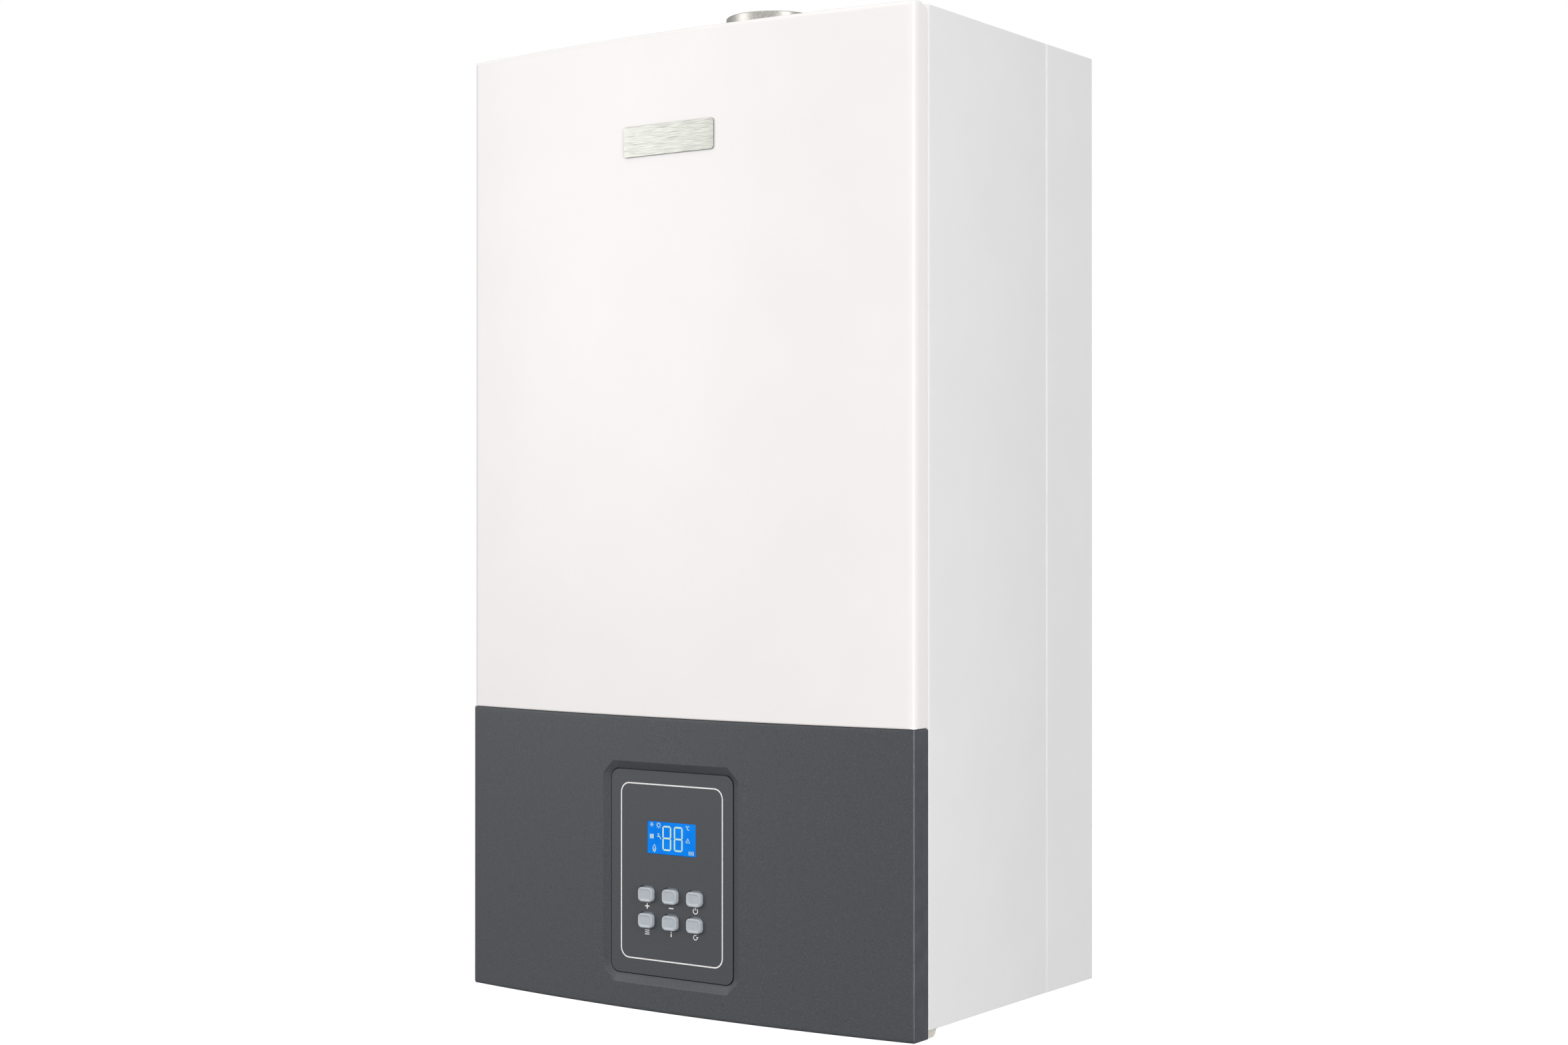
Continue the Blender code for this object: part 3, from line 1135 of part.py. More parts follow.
def connection(obj, x, y, radius):
    """Add the lock nut on the floor plate and the bore at the lower end."""
    floor = FLOOR_Z + SHEET + GAP
    join(obj, cylinder("Z", (x, y), radius + NUT_BORDER, floor, floor + NUT_HEIGHT, NUT_SIDES))
    cut(obj, cylinder("Z", (x, y), radius - BORE_WALL, STUB_END_Z - OVERRUN, STUB_END_Z + BORE_DEPTH,
                      SMALL_SIDES))
    return obj


def gas_inlet_pipe():
    """Pipe from below the floor up to the gas valve, bent forwards on its way."""
    corners = [(0, GAS_Y, STUB_END_Z), (0, GAS_Y, INLET_DOWN_Z), (0, INLET_TOP_Y, INLET_TURN_Z),
               (0, INLET_TOP_Y, VALVE_BOTTOM_Z - GAP)]
    inlet = pipe(bent(corners, INLET_BEND), GAS_RADIUS)
    return keep(connection(inlet, 0, GAS_Y, GAS_RADIUS), "gas_inlet_pipe", brass, True)


def stub(name, x, radius):
    """Threaded connection from below the floor to the block or exchanger over it."""
    top = BLOCK_BOTTOM_Z if x in BLOCK_X else PLATES_BOTTOM_Z
    tube = cylinder("Z", (x, STUB_Y), radius, STUB_END_Z, top - GAP, SMALL_SIDES)
    connection(tube, x, STUB_Y, radius)
    if name == "cold_water_stub":
        join(tube, cylinder("Y", (x, TAP_Z), TAP_RADIUS, STUB_Y - TAP_REACH,
                            STUB_Y - radius + BORE_WALL, SMALL_SIDES))
    return keep(tube, name, brass, True)


def filling_knob():
    """Knob on the front of the filling tap, under the floor."""
    front = STUB_Y - TAP_REACH - GAP
    grip = lobed((COLD_X, TAP_Z), TAP_KNOB_RADIUS, KNOB_DEPTH, KNOB_LOBES)
    knob = prism(grip, "Y", front - TAP_KNOB_LENGTH, front)
    return keep(knob, "filling_knob", blue, True)


def water_block(name, x):
    """Composite block on two of the connections."""
    block = box(around(x, BLOCK_HALF), (BLOCK_FRONT_Y, BLOCK_REAR_Y), (BLOCK_BOTTOM_Z, BLOCK_TOP_Z))
    soften(block, BLOCK_ROUND, 1)
    return keep(block, name, black)


def diverter():
    """Three-way valve: bore in the flow block, motor in front, spindle that slides between them."""
    block = water_block("flow_block", FLOW_X)
    centre = (FLOW_X, DIVERTER_Z)
    seam = BLOCK_FRONT_Y
    deep = SPINDLE_HALF + SPINDLE_TRAVEL + SPINDLE_FREE
    cut(block, cylinder("Y", centre, SPINDLE_RADIUS + GAP, seam - OVERRUN, seam + deep, SMALL_SIDES))
    motor_rear = seam - GAP
    motor = box(around(FLOW_X, DIVERTER_HALF), (DIVERTER_FRONT_Y, motor_rear),
                around(DIVERTER_Z, DIVERTER_HEIGHT / 2))
    soften(motor, BLOCK_ROUND)
    cut(motor, cylinder("Y", centre, SPINDLE_RADIUS + GAP, seam - SPINDLE_HALF - SPINDLE_FREE,
                        seam + OVERRUN, SMALL_SIDES))
    keep(motor, "diverter_motor", black)
    spindle = cylinder("Y", centre, SPINDLE_RADIUS, seam - SPINDLE_HALF, seam + SPINDLE_HALF, SMALL_SIDES)
    return keep(spindle, "diverter_spindle", stainless, True)


def plate_exchanger():
    """Stack of brazed plates: a block with grooves along its top and bottom."""
    block = box(both(PLATES_HALF), (PLATES_FRONT_Y, PLATES_REAR_Y), (PLATES_BOTTOM_Z, PLATES_TOP_Z))
    pitch = (PLATES_REAR_Y - PLATES_FRONT_Y) / PLATE_GROOVES
    reach = both(PLATES_HALF + OVERRUN)
    for i in range(PLATE_GROOVES):
        y = around(PLATES_FRONT_Y + pitch * (i + 1 / 2), GROOVE_WIDTH / 2)
        cut(block, box(reach, y, (PLATES_TOP_Z - GROOVE_DEPTH, PLATES_TOP_Z + OVERRUN)))
    return keep(block, "plate_exchanger", stainless)


def pump():
    """Volute on the return block with the riser's boss and an air vent; impeller and motor in front."""
    centre = (RETURN_X, PUMP_Z)
    body = cylinder("Y", centre, PUMP_RADIUS, BLOCK_FRONT_Y, PUMP_REAR_Y)
    y = (BLOCK_FRONT_Y + PUMP_FOOT_INSET, PUMP_REAR_Y - PUMP_FOOT_INSET)
    join(body, box(around(RETURN_X, PUMP_FOOT_HALF), y, (BLOCK_TOP_Z + GAP, PUMP_Z)))
    join(body, box(around(PIPE_X, PUMP_OUT_HALF), around(PIPE_Y, PUMP_OUT_HALF), (PUMP_Z, PUMP_OUT_TOP_Z)))
    join(body, cylinder("Z", (VENT_X, PIPE_Y), VENT_RADIUS, VENT_ROOT_Z, VENT_TOP_Z, SMALL_SIDES))
    cut(body, cylinder("Y", centre, PUMP_POCKET, BLOCK_FRONT_Y - OVERRUN, PUMP_REAR_Y - PUMP_BACK_WALL))
    keep(body, "pump_body", cast, True)
    rear = BLOCK_FRONT_Y - GAP
    motor = cylinder("Y", centre, PUMP_MOTOR_RADIUS, PUMP_MOTOR_FRONT_Y, rear)
    soften(motor, PUMP_MOTOR_ROUND)
    cut(motor, cylinder("Y", centre, SHAFT_RADIUS + GAP, rear - PUMP_SHAFT_IN - OVERRUN, rear + OVERRUN,
                        SMALL_SIDES))
    keep(motor, "pump_motor", black, True)
    front = IMPELLER_REAR_Y - IMPELLER_THICK
    blades = lobed(centre, IMPELLER_RADIUS, IMPELLER_DEPTH, IMPELLER_BLADES)
    wheel = prism(blades, "Y", front, IMPELLER_REAR_Y)
    join(wheel, cylinder("Y", centre, SHAFT_RADIUS, rear - PUMP_SHAFT_IN, front + IMPELLER_DEPTH,
                         SMALL_SIDES))
    return keep(wheel, "pump_impeller", stainless, True)


def riser(name, side, foot_z):
    """Copper pipe up into the chamber and over to the side of the heat exchanger."""
    corners = [(side * PIPE_X, PIPE_Y, foot_z + GAP), (side * PIPE_X, PIPE_Y, RISER_END_Z),
               (side * (EXCHANGER_HALF + GAP), PIPE_Y, RISER_END_Z)]
    return keep(pipe(bent(corners, RISER_BEND), PIPE_RADIUS), name, copper, True)


def safety_valve():
    """Relief valve on the return block, with its outlet down and its knob in front."""
    rear = BLOCK_FRONT_Y - GAP
    front = rear - SAFETY_LENGTH
    centre = (RETURN_X, SAFETY_Z)
    valve = cylinder("Y", centre, SAFETY_RADIUS, front, rear, SMALL_SIDES)
    join(valve, cylinder("Z", (RETURN_X, (front + rear) / 2), SAFETY_OUTLET,
                         SAFETY_Z - SAFETY_OUTLET_DROP, SAFETY_Z, SMALL_SIDES))
    keep(valve, "safety_valve", brass, True)
    outline = lobed(centre, SAFETY_KNOB_RADIUS, KNOB_DEPTH, KNOB_LOBES)
    knob = prism(outline, "Y", front - GAP - SAFETY_KNOB_LENGTH, front - GAP)
    return keep(knob, "safety_knob", red, True)


expansion_vessel()
vessel_pipe()
gas_valve()
gas_pipe()
gas_inlet_pipe()
for stub_name, (stub_x, stub_radius) in STUBS.items():
    stub(stub_name, stub_x, stub_radius)
filling_knob()
water_block("return_block", RETURN_X)
diverter()
plate_exchanger()
pump()
riser("flow_pipe", -1, BLOCK_TOP_Z)
riser("return_pipe", 1, PUMP_OUT_TOP_Z)
safety_valve()
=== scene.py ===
"""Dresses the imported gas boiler: stove-enamelled casing, graphite control panel with keys and lit
display, and the metalwork, pipes and boards behind them.  Metres, front towards -Y."""
import json
import math

import bmesh
import bpy
import numpy as np
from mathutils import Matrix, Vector


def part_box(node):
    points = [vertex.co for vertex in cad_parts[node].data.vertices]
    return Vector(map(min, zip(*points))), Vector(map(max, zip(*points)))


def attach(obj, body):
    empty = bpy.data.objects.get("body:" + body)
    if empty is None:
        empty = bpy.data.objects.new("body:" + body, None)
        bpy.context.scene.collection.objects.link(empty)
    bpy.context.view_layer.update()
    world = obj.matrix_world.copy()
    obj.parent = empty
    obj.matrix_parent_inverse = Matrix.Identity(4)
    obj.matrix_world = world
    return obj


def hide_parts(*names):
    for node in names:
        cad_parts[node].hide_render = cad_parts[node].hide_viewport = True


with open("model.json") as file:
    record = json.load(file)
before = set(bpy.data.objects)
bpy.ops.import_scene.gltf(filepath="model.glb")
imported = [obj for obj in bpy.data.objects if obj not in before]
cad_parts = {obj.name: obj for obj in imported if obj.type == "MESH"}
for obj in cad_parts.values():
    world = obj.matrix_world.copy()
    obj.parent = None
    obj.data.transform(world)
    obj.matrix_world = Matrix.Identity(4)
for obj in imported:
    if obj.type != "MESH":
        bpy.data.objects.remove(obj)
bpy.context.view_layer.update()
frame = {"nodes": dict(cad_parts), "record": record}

# Camera, as the photograph was taken; the focal length is in its pixels
PHOTO_WIDTH = 2352
FOCAL_PIXELS = 3663.2
SENSOR_MM = 36.0
CAMERA_YAW = math.radians(34.81)
CAMERA_PITCH = math.radians(-0.17)
CAMERA_DISTANCE = 1.9555
CAMERA_TARGET = (0.0122, -0.150, -0.0034)

# Lamps: name, place, width, height and power.  Room: the side it is brightest on, its levels, and how
# much brighter mirrors see it.  Floor: the light it adds for the camera, its reach and its height
LAMPS = (("key", (-2.2, -2.5, 0.65), 1.6, 1.6, 26),
         ("strip", (2.4, -1.2, 0.2), 0.35, 2.4, 30),
         ("top", (0.0, -0.6, 2.4), 1.4, 1.4, 6))
LAMP_TARGET = (0, -0.15, 0)
BRIGHT_SIDE = (0.10, -0.68, 0.726)
ROOM_DARK = 0.06
ROOM_BRIGHT = 0.94
GLOSS_GAIN = 1.3
FLOOR_GLOW = 0.75
FLOOR_REACH = 6.0
FLOOR_Z = -0.9

# The body that each CAD node rides on
OWNER = {name: body for body, names in frame["record"]["behaviour"]["bodies"].items() for name in names}

# Casing, read from the frame
COVER_LOW, COVER_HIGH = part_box("front_cover")
FASCIA_LOW, FASCIA_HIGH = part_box("control_fascia")
PLATE_LOW, PLATE_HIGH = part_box("control_plate")
PANEL_LOW, PANEL_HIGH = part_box("side_panel_right")
BOARD_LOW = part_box("keypad_board")[0]
HALF_W = COVER_HIGH[0]
CROWN_Y = FASCIA_LOW[1]
BOW = 0.0145
SHEET = 0.0012
SIDES = {-1: "left", 1: "right"}

# How finely outlines are divided: half a round corner, and a side along X and along Z
CORNER_STEPS = 5
SIDE_STEPS_X = 40
SIDE_STEPS_Z = 24
FOLD = (SIDE_STEPS_X + 2 * CORNER_STEPS, SIDE_STEPS_Z + 2 * CORNER_STEPS)
ROLL = np.linspace(0, math.pi / 2, 7)

# How close points are merged, and the angles under which faces are one, are smooth, or keep their edge
MERGE = 1e-6
CAD_MERGE = 1e-5
FLAT_ANGLE = math.radians(1)
SMOOTH_ANGLE = math.radians(25)
BEVEL_ANGLE = math.radians(40)

# Cover: the rolls of its side, top and bottom edges, where its return steps down and by how much, and
# the height of the band below its top that sinks with the step
COVER_ROLL = (0.0055, 0.0040, 0.0012)
COVER_CORNER = 0.0009
STEP_FRONT_Y = -0.2618
STEP_REAR_Y = -0.2572
STEP_DROP = 0.0024
TOP_BAND = 0.004
REAR_EASE = 0.0014

# Fascia: its rolls, the recess in its face, the pocket and seat of the control plate, the boss behind
# them, and the notches for the hinge feet
FASCIA_ROLL = (0.0028, 0.0008, 0.0022)
FASCIA_CORNER = 0.0016
INNER_CORNER = 0.0003
FASCIA_WALL = 0.0025
RETURN_BLEND = (0.0020, 0.0010)
RECESS_X = (-0.0634, 0.0634)
RECESS_Z = (-0.3556, -0.1875)
RECESS_CUT = 0.0092
POCKET_CLEARANCE = 0.0007
POCKET_RADIUS = 0.0070
EDGE_ROUND = 0.0009
SEAT_LEDGE = 0.0038
SEAT_RADIUS = 0.004
SEAT_GAP = 0.0003
BOSS_X = (-0.066, 0.066)
BOSS_BORDER = 0.0082
NOTCH_X = (0.1960, 0.2069)
NOTCH_DRAFT = 0.0002
NOTCH_FRONT_Y = -0.262
BEVEL_STEPS = 4
FACE_STEPS = 15

# Keys
KEY_NAMES = ("plus", "minus", "power", "mode", "info", "reset")
KEY_FLANGE = 0.001
KEY_STEP = 0.0008
KEY_CORNER = 0.0036
KEY_ROLL = 0.0010
KEY_DISH = 0.00035
KEY_RIM = 0.0016
KEY_TOP_CUT = 0.0008

# Name plate
BADGE_BACK = -0.0003
BADGE_THICK = 0.0008
BADGE_CORNER = 0.0025
BADGE_EDGE = 0.0002

# Print on the control plate, and the signs of the display
PRINT_THICK = 0.00006
LINE_X = (-0.0486, 0.0486)
LINE_Z = (-0.3380, -0.2030)
LINE_WIDTH = 0.0010
LINE_RADIUS = 0.008
SIGN_DROP = 0.0093
SIGN_SIZE = 0.0042
SIGN_LINE = 0.0009
ARC_STEPS = 24
SEGMENT_LINE = 0.052
SEGMENT_GAP = 0.12

# Flue collar
COLLAR_WALL = 0.0015
COLLAR_EASE = 0.0006

# Side sheets: how far they stand inside the cover, their fold, their broken edges, the turn at the rear
# edge, and the bead in the seam behind it
PANEL_INSET = 0.0001
PANEL_BEND = 0.003
PANEL_INNER_BEND = 0.0018
PANEL_EDGE = 0.0003
SEAM_TURN = 0.0010
SEAM_RUN = 0.0016
BEAD_SUNK = 0.0007
BEAD_HALF = 0.0013
BEAD_DEEP = 0.0014

# Hinge feet
HINGE_Y = -0.2470
HINGE_Z = -0.3705
HINGE_PIN = 0.003
BRACKET_THICK = 0.0073
FOOT_INSET = 0.0034
FOOT_GAP = 0.0003
FOOT_SOLE = 0.0006
FOOT_ROUND = 0.004
FOOT_REAR = 0.0050
FOOT_EDGE = 0.0004
BLOCK_SETBACK = 0.0024
BLOCK_LAP = 0.001

# Screws, and the lid of the control box with its louvres
SCREW_RADIUS = 0.0040
SCREW_HIGH = 0.0014
SCREW_STEPS = 24
SCREW_EDGE = 0.009
LID_INSET = 0.006
LID_FOOT = 0.012
LID_SUNK = 0.0005
LID_HIGH = 0.0014
LID_CORNER = 0.008
LOUVRE_COUNT = 9
LOUVRE_PITCH = 0.0065
LOUVRE_FIRST_Z = -0.285
LOUVRE_MIDDLES = (-0.110, 0.110)
LOUVRE_HALF = 0.045
LOUVRE_REACH = (0.0017, 0.0034)
LOUVRE_SUNK = 0.0003


def linear(code):
    """Turns an sRGB hex colour into the linear values that shaders take."""
    channels = [int(code[i:i + 2], 16) / 255 for i in (1, 3, 5)]
    return tuple(c / 12.92 if c <= 0.04045 else ((c + 0.055) / 1.055) ** 2.4 for c in channels) + (1.0,)


def per_mm(size):
    """Scale of a pattern whose features are this many millimetres wide."""
    return 1000 / size


def node(tree, kind, inputs=None, **settings):
    """Adds a shader node; each input is a value, or a socket to link from."""
    new = tree.nodes.new("ShaderNode" + kind)
    for key, value in settings.items():
        setattr(new, key, value)
    for key, value in (inputs or {}).items():
        if isinstance(value, bpy.types.NodeSocket):
            tree.links.new(value, new.inputs[key])
        else:
            new.inputs[key].default_value = value
    return new


def feed(shader, name, socket):
    """Links a socket to an input of the shader."""
    shader.id_data.links.new(socket, shader.inputs[name])


def ramp(factor, *stops):
    """A colour ramp over a factor; stops are (place, hex colour) pairs, or two colours at 0.3 and 0.7."""
    if isinstance(stops[0], str):
        stops = tuple(zip((0.3, 0.7), stops))
    new = node(factor.id_data, "ValToRGB", {"Fac": factor})
    band = new.color_ramp
    while len(band.elements) < len(stops):
        band.elements.new(0.5)
    for element, (spot, code) in zip(band.elements, stops):
        element.position = spot
        element.color = linear(code)
    return new.outputs["Color"]


def begin(name, roughness, metallic=0.0, **sockets):
    """A material with a Principled shader, whose other constant sockets are set by name."""
    mat = bpy.data.materials.new(name)
    mat.use_nodes = True
    tree = mat.node_tree
    shader = tree.nodes["Principled BSDF"]
    shader.inputs["Roughness"].default_value = roughness
    shader.inputs["Metallic"].default_value = metallic
    for key, value in sockets.items():
        shader.inputs[key.replace("_", " ")].default_value = value
    place = node(tree, "TexCoord").outputs["Object"]
    return mat, shader, place


def noise(place, mm, detail=2.0, stretch=(1, 1, 1)):
    """Soft noise with features of the given size, drawn out along an axis by a small factor there."""
    tree = place.id_data
    mapped = node(tree, "Mapping", {"Vector": place, "Scale": stretch}).outputs["Vector"]
    return node(tree, "TexNoise", {"Vector": mapped, "Scale": per_mm(mm), "Detail": detail}).outputs["Fac"]


def dent(shader, height, depth_mm, strength):
    """Bump from a height between 0 and 1 that stands for depth_mm; strength is a value or a socket."""
    bump = node(shader.id_data, "Bump", {"Height": height, "Distance": depth_mm / 1000, "Strength": strength})
    feed(shader, "Normal", bump.outputs["Normal"])


def tint(shader, factor, *stops):
    """Base colour from a ramp."""
    feed(shader, "Base Color", ramp(factor, *stops))


def sheen_spread(shader, factor, low, high):
    """Roughness that wanders between two values."""
    spread = node(shader.id_data, "MapRange", {"Value": factor, "To Min": low, "To Max": high})
    feed(shader, "Roughness", spread.outputs["Result"])


def even_coat(name, roughness, wander_mm, low, high, grain, **sockets):
    """A surface whose colour wanders softly over wander_mm, and whose grain, given by its width, depth
    and strength, shows in the highlights alone."""
    mat, shader, place = begin(name, roughness, **sockets)
    tint(shader, noise(place, wander_mm), low, high)
    dent(shader, noise(place, grain[0]), *grain[1:])
    return mat


def grained(name, roughness, texture, stops, depth_mm, strength, **sockets):
    """A surface whose colour and relief follow one texture, given by its width and detail."""
    mat, shader, place = begin(name, roughness, **sockets)
    grain = noise(place, *texture)
    tint(shader, grain, *stops)
    dent(shader, grain, depth_mm, strength)
    return mat


def stoved_enamel(name, low, high, roughness):
    """Powder enamel baked on steel: even colour, a faint orange peel 2.5 mm wide and a soft gloss."""
    return even_coat(name, roughness, 60.0, low, high, (2.5, 0.02, 0.25), IOR=1.5)


def moulded_plastic(name, low, high, roughness, grain_mm=0.9, depth_mm=0.03):
    """Injection-moulded plastic from a spark-eroded tool: fine matt grain, drawn coarse enough to show."""
    return grained(name, roughness, (grain_mm, 3.0), ((0.35, low), (0.65, high)), depth_mm, 0.5, IOR=1.49)


def brushed_metal(name, low, high, roughness, stretch, line_mm=0.6):
    """Metal rubbed one way with a belt: long fine lines that spread the highlights across them."""
    mat, shader, place = begin(name, roughness, 1.0)
    lines = noise(place, line_mm, 3.0, stretch)
    tint(shader, lines, low, high)
    sheen_spread(shader, lines, roughness - 0.06, roughness + 0.1)
    dent(shader, lines, 0.01, 0.3)
    return mat


def zinc_sheet():
    """Hot-dip galvanised sheet: spangles 7 mm wide in slightly different greys."""
    mat, shader, place = begin("galvanised_zinc_spangle", 0.45, 1.0)
    cells = node(mat.node_tree, "TexVoronoi", {"Vector": place, "Scale": per_mm(7.0)})
    tone = node(mat.node_tree, "SeparateColor", {"Color": cells.outputs["Color"]}).outputs[0]
    tint(shader, tone, (0.0, "#B4B8BA"), (0.5, "#BBBFC1"), (1.0, "#C2C6C7"))
    sheen_spread(shader, tone, 0.4, 0.5)
    dent(shader, noise(place, 3.0), 0.02, 0.2)
    return mat


def drawn_metal(name, stops, roughness, mottle_mm=18.0, grain_mm=0.8, depth_mm=0.01):
    """Drawn, turned or cast metal: a wandering tarnish over a fine grain."""
    mat, shader, place = begin(name, roughness, 1.0)
    mottle = noise(place, mottle_mm, 4.0)
    tint(shader, mottle, *stops)
    sheen_spread(shader, mottle, roughness - 0.05, roughness + 0.12)
    dent(shader, noise(place, grain_mm, 3.0), depth_mm, 0.4)
    return mat


def speckled_plastic():
    """Graphite ABS with a fine lighter speck in its matt paint; the returns, where the tool draws along
    the wall, come out smooth and glossier, and their colour is a painted sheen, a shade lighter and bluer."""
    mat, shader, place = begin("graphite_textured_abs", 0.5, IOR=1.49)
    tree = mat.node_tree
    grain = noise(place, 0.8)
    front = ramp(grain, (0.28, "#383B3F"), (0.5, "#404347"), (0.74, "#4C4F53"))
    # painted sheen: the returns' colour is lighter and bluer than the face's, and stands for the reflection
    # on their gloss
    wall = ramp(noise(place, 14.0), "#43464D", "#4B4E55")
    across = node(tree, "SeparateXYZ", {0: place}).outputs["X"]
    side = node(tree, "Math", {0: across}, operation='ABSOLUTE').outputs[0]
    share = node(tree, "MapRange", {"Value": side, "From Min": HALF_W - RETURN_BLEND[0],
                                    "From Max": HALF_W - RETURN_BLEND[1]}).outputs["Result"]
    mixed = node(tree, "Mix", {"Factor": share, "A": front, "B": wall}, data_type='RGBA')
    feed(shader, "Base Color", mixed.outputs["Result"])
    sheen_spread(shader, share, 0.5, 0.2)
    level = node(tree, "MapRange", {"Value": share, "To Min": 0.5, "To Max": 0.04}).outputs["Result"]
    dent(shader, grain, 0.05, level)
    return mat


def lit_part(name, roughness, wander_mm, glow_tones, own_tones, **sockets):
    """A part lit from behind, whose glow and own colour wander together."""
    mat, shader, place = begin(name, roughness, **sockets)
    glow = noise(place, wander_mm, 1.0)
    feed(shader, "Emission Color", ramp(glow, *glow_tones))
    tint(shader, glow, *own_tones)
    return mat


def circuit_board():
    """Glass-epoxy laminate under green solder mask, with the copper tracks showing as paler lines."""
    mat, shader, place = begin("green_solder_mask", 0.3, IOR=1.55)
    tree = mat.node_tree
    turned_place = node(tree, "Mapping", {"Vector": place, "Rotation": (math.pi / 2, 0, 0)}).outputs["Vector"]
    bricks = node(tree, "TexBrick", {"Vector": turned_place, "Scale": per_mm(14.0), "Mortar Size": 0.05,
                                     "Color1": linear("#155A33"), "Color2": linear("#1B6A3C"),
                                     "Mortar": linear("#3C8A55")})
    feed(shader, "Base Color", bricks.outputs["Color"])
    dent(shader, bricks.outputs["Fac"], 0.03, 0.3)
    return mat


ENAMEL = stoved_enamel("white_stoved_enamel", "#F1EEEC", "#F3F0EF", 0.33)
SIDE_ENAMEL = stoved_enamel("side_stoved_enamel", "#E9E8E8", "#EBEAEA", 0.4)
GRAPHITE = speckled_plastic()
# Backlit liquid crystal glass: even blue with a faint lighter patch, under a glossy pane
LCD = lit_part("backlit_blue_lcd", 0.12, 18.0, ("#0077E4", "#0C85EE"), ("#00142A", "#001830"),
               IOR=1.5, Specular_IOR_Level=0.12, Emission_Strength=1.0)
# Clear segments of the display, where the lamp behind shines through pale yellow-white
SEGMENTS = lit_part("lit_lcd_segments", 0.3, 3.0, ("#E4F2C8", "#BFEFF2"), ("#30362C", "#263438"),
                    Emission_Strength=0.8)
# White screen-printing ink: a dense film with slightly uneven cover
INK = even_coat("white_screen_print", 0.55, 1.5, (0.3, "#E2E2E0"), (0.6, "#F4F3F1"), (0.8, 0.01, 0.3))
# Moulded keys under a satin lacquer: cool light grey, very even, with a clear highlight on the rim
KEYS_GREY = even_coat("satin_grey_keys", 0.34, 5.0, "#B0B7BD", "#B7BEC4", (0.7, 0.01, 0.3), IOR=1.49)
SILVER = brushed_metal("brushed_silver_badge", "#80817C", "#B0B1AB", 0.36, (0.04, 1, 1), 0.5)
COLLAR_STEEL = brushed_metal("satin_stainless_collar", "#96958F", "#BDBCB6", 0.36, (1, 1, 0.3), 0.5)
STAINLESS = brushed_metal("rolled_stainless", "#A5A6A6", "#C9C9C8", 0.3, (0.06, 1, 1))
ZINC = zinc_sheet()
COPPER = drawn_metal("drawn_copper", [(0.25, "#B36B4C"), (0.5, "#C98562"), (0.75, "#D69A78")], 0.28)
BRASS = drawn_metal("turned_brass", [(0.25, "#B59149"), (0.5, "#CBA75C"), (0.75, "#D8B973")], 0.3)
CAST = drawn_metal("sand_cast_aluminium", ("#9A9C9D", "#B7B9BA"), 0.5, 12.0, 1.2, 0.06)
BLACK = moulded_plastic("black_glass_filled_nylon", "#1B1B1D", "#242527", 0.5)
DARK_GREY = moulded_plastic("dark_grey_abs", "#3A3C3F", "#434548", 0.5)
BLUE = moulded_plastic("blue_acetal", "#1D4396", "#2650A8", 0.4)
RED = stoved_enamel("red_stoved_enamel", "#A6201A", "#B32A22", 0.3)
CERAMIC = moulded_plastic("glazed_alumina", "#E6E2D6", "#F0EDE4", 0.2, 2.0, 0.01)
# Pressed ceramic fibre: chalky and dry, with a felted surface 0.3 mm deep
FIBRE = grained("pressed_ceramic_fibre", 0.95, (2.2, 6.0), ("#CFC7B4", "#E9E3D5"), 0.3, 0.6)
LAMINATE = circuit_board()
# Natural polyamide: off-white that lets a little light into itself
NYLON = even_coat("natural_polyamide", 0.42, 6.0, "#D6D2C8", "#E2DFD6", (1.0, 0.02, 0.3), IOR=1.53,
                  Subsurface_Weight=0.3, Subsurface_Scale=0.003)
# Borosilicate pane: clear, with a very faint ripple
PANE = even_coat("borosilicate_pane", 0.05, 20.0, "#E6EFEE", "#F2F8F7", (12.0, 0.02, 0.2), IOR=1.47,
                 Transmission_Weight=0.9)


def placed(name, mesh, mat, body, replaced=(), smooth=True):
    """Puts a mesh into the scene in its finish, and lets it ride on a body."""
    if smooth:
        mesh.shade_smooth()
        mesh.set_sharp_from_angle(angle=SMOOTH_ANGLE)
    mesh.materials.clear()
    mesh.materials.append(mat)
    obj = bpy.data.objects.new(name, mesh)
    bpy.context.scene.collection.objects.link(obj)
    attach(obj, body)
    if replaced:
        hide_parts(*replaced)
    return obj


def piece(name, points, faces, mat, body, replaced=(), smooth=True):
    """Makes a mesh piece, merged and with its faces outwards."""
    mesh = bpy.data.meshes.new(name)
    mesh.from_pydata(np.asarray(points, float).reshape(-1, 3).tolist(), [], faces)
    bm = bmesh.new()
    bm.from_mesh(mesh)
    bmesh.ops.remove_doubles(bm, verts=bm.verts, dist=MERGE)
    bmesh.ops.recalc_face_normals(bm, faces=bm.faces)
    bm.to_mesh(mesh)
    bm.free()
    return placed(name, mesh, mat, body, replaced, smooth)


def quads(rows, columns, start=0, close_rows=False, close_columns=False):
    """Faces of a grid whose points are numbered row by row."""
    i, j = np.meshgrid(np.arange(rows if close_rows else rows - 1),
                       np.arange(columns if close_columns else columns - 1), indexing="ij")
    row, next_row = i * columns, (i + 1) % rows * columns
    next_j = (j + 1) % columns
    faces = np.stack([row + j, row + next_j, next_row + next_j, next_row + j], -1)
    return (faces.reshape(-1, 4) + start).tolist()


def tube(rows, columns, start=0):
    """Faces of a tube of rings, with a flat face over each end."""
    last = start + (rows - 1) * columns
    ends = [list(range(first, first + columns)) for first in (start, last)]
    return quads(rows, columns, start, False, True) + ends


def bars(name, pairs, mat, body, replaced=(), smooth=True):
    """Solid bars in one piece, each between two like rings of points."""
    points, faces, count = [], [], 0
    for pair in pairs:
        points += list(pair)
        faces += tube(2, len(pair[0]), count)
        count += 2 * len(pair[0])
    return piece(name, np.concatenate(points), faces, mat, body, replaced, smooth)


def spans(low, high):
    """A box's extents along X and along Z."""
    return (low[0], high[0]), (low[2], high[2])


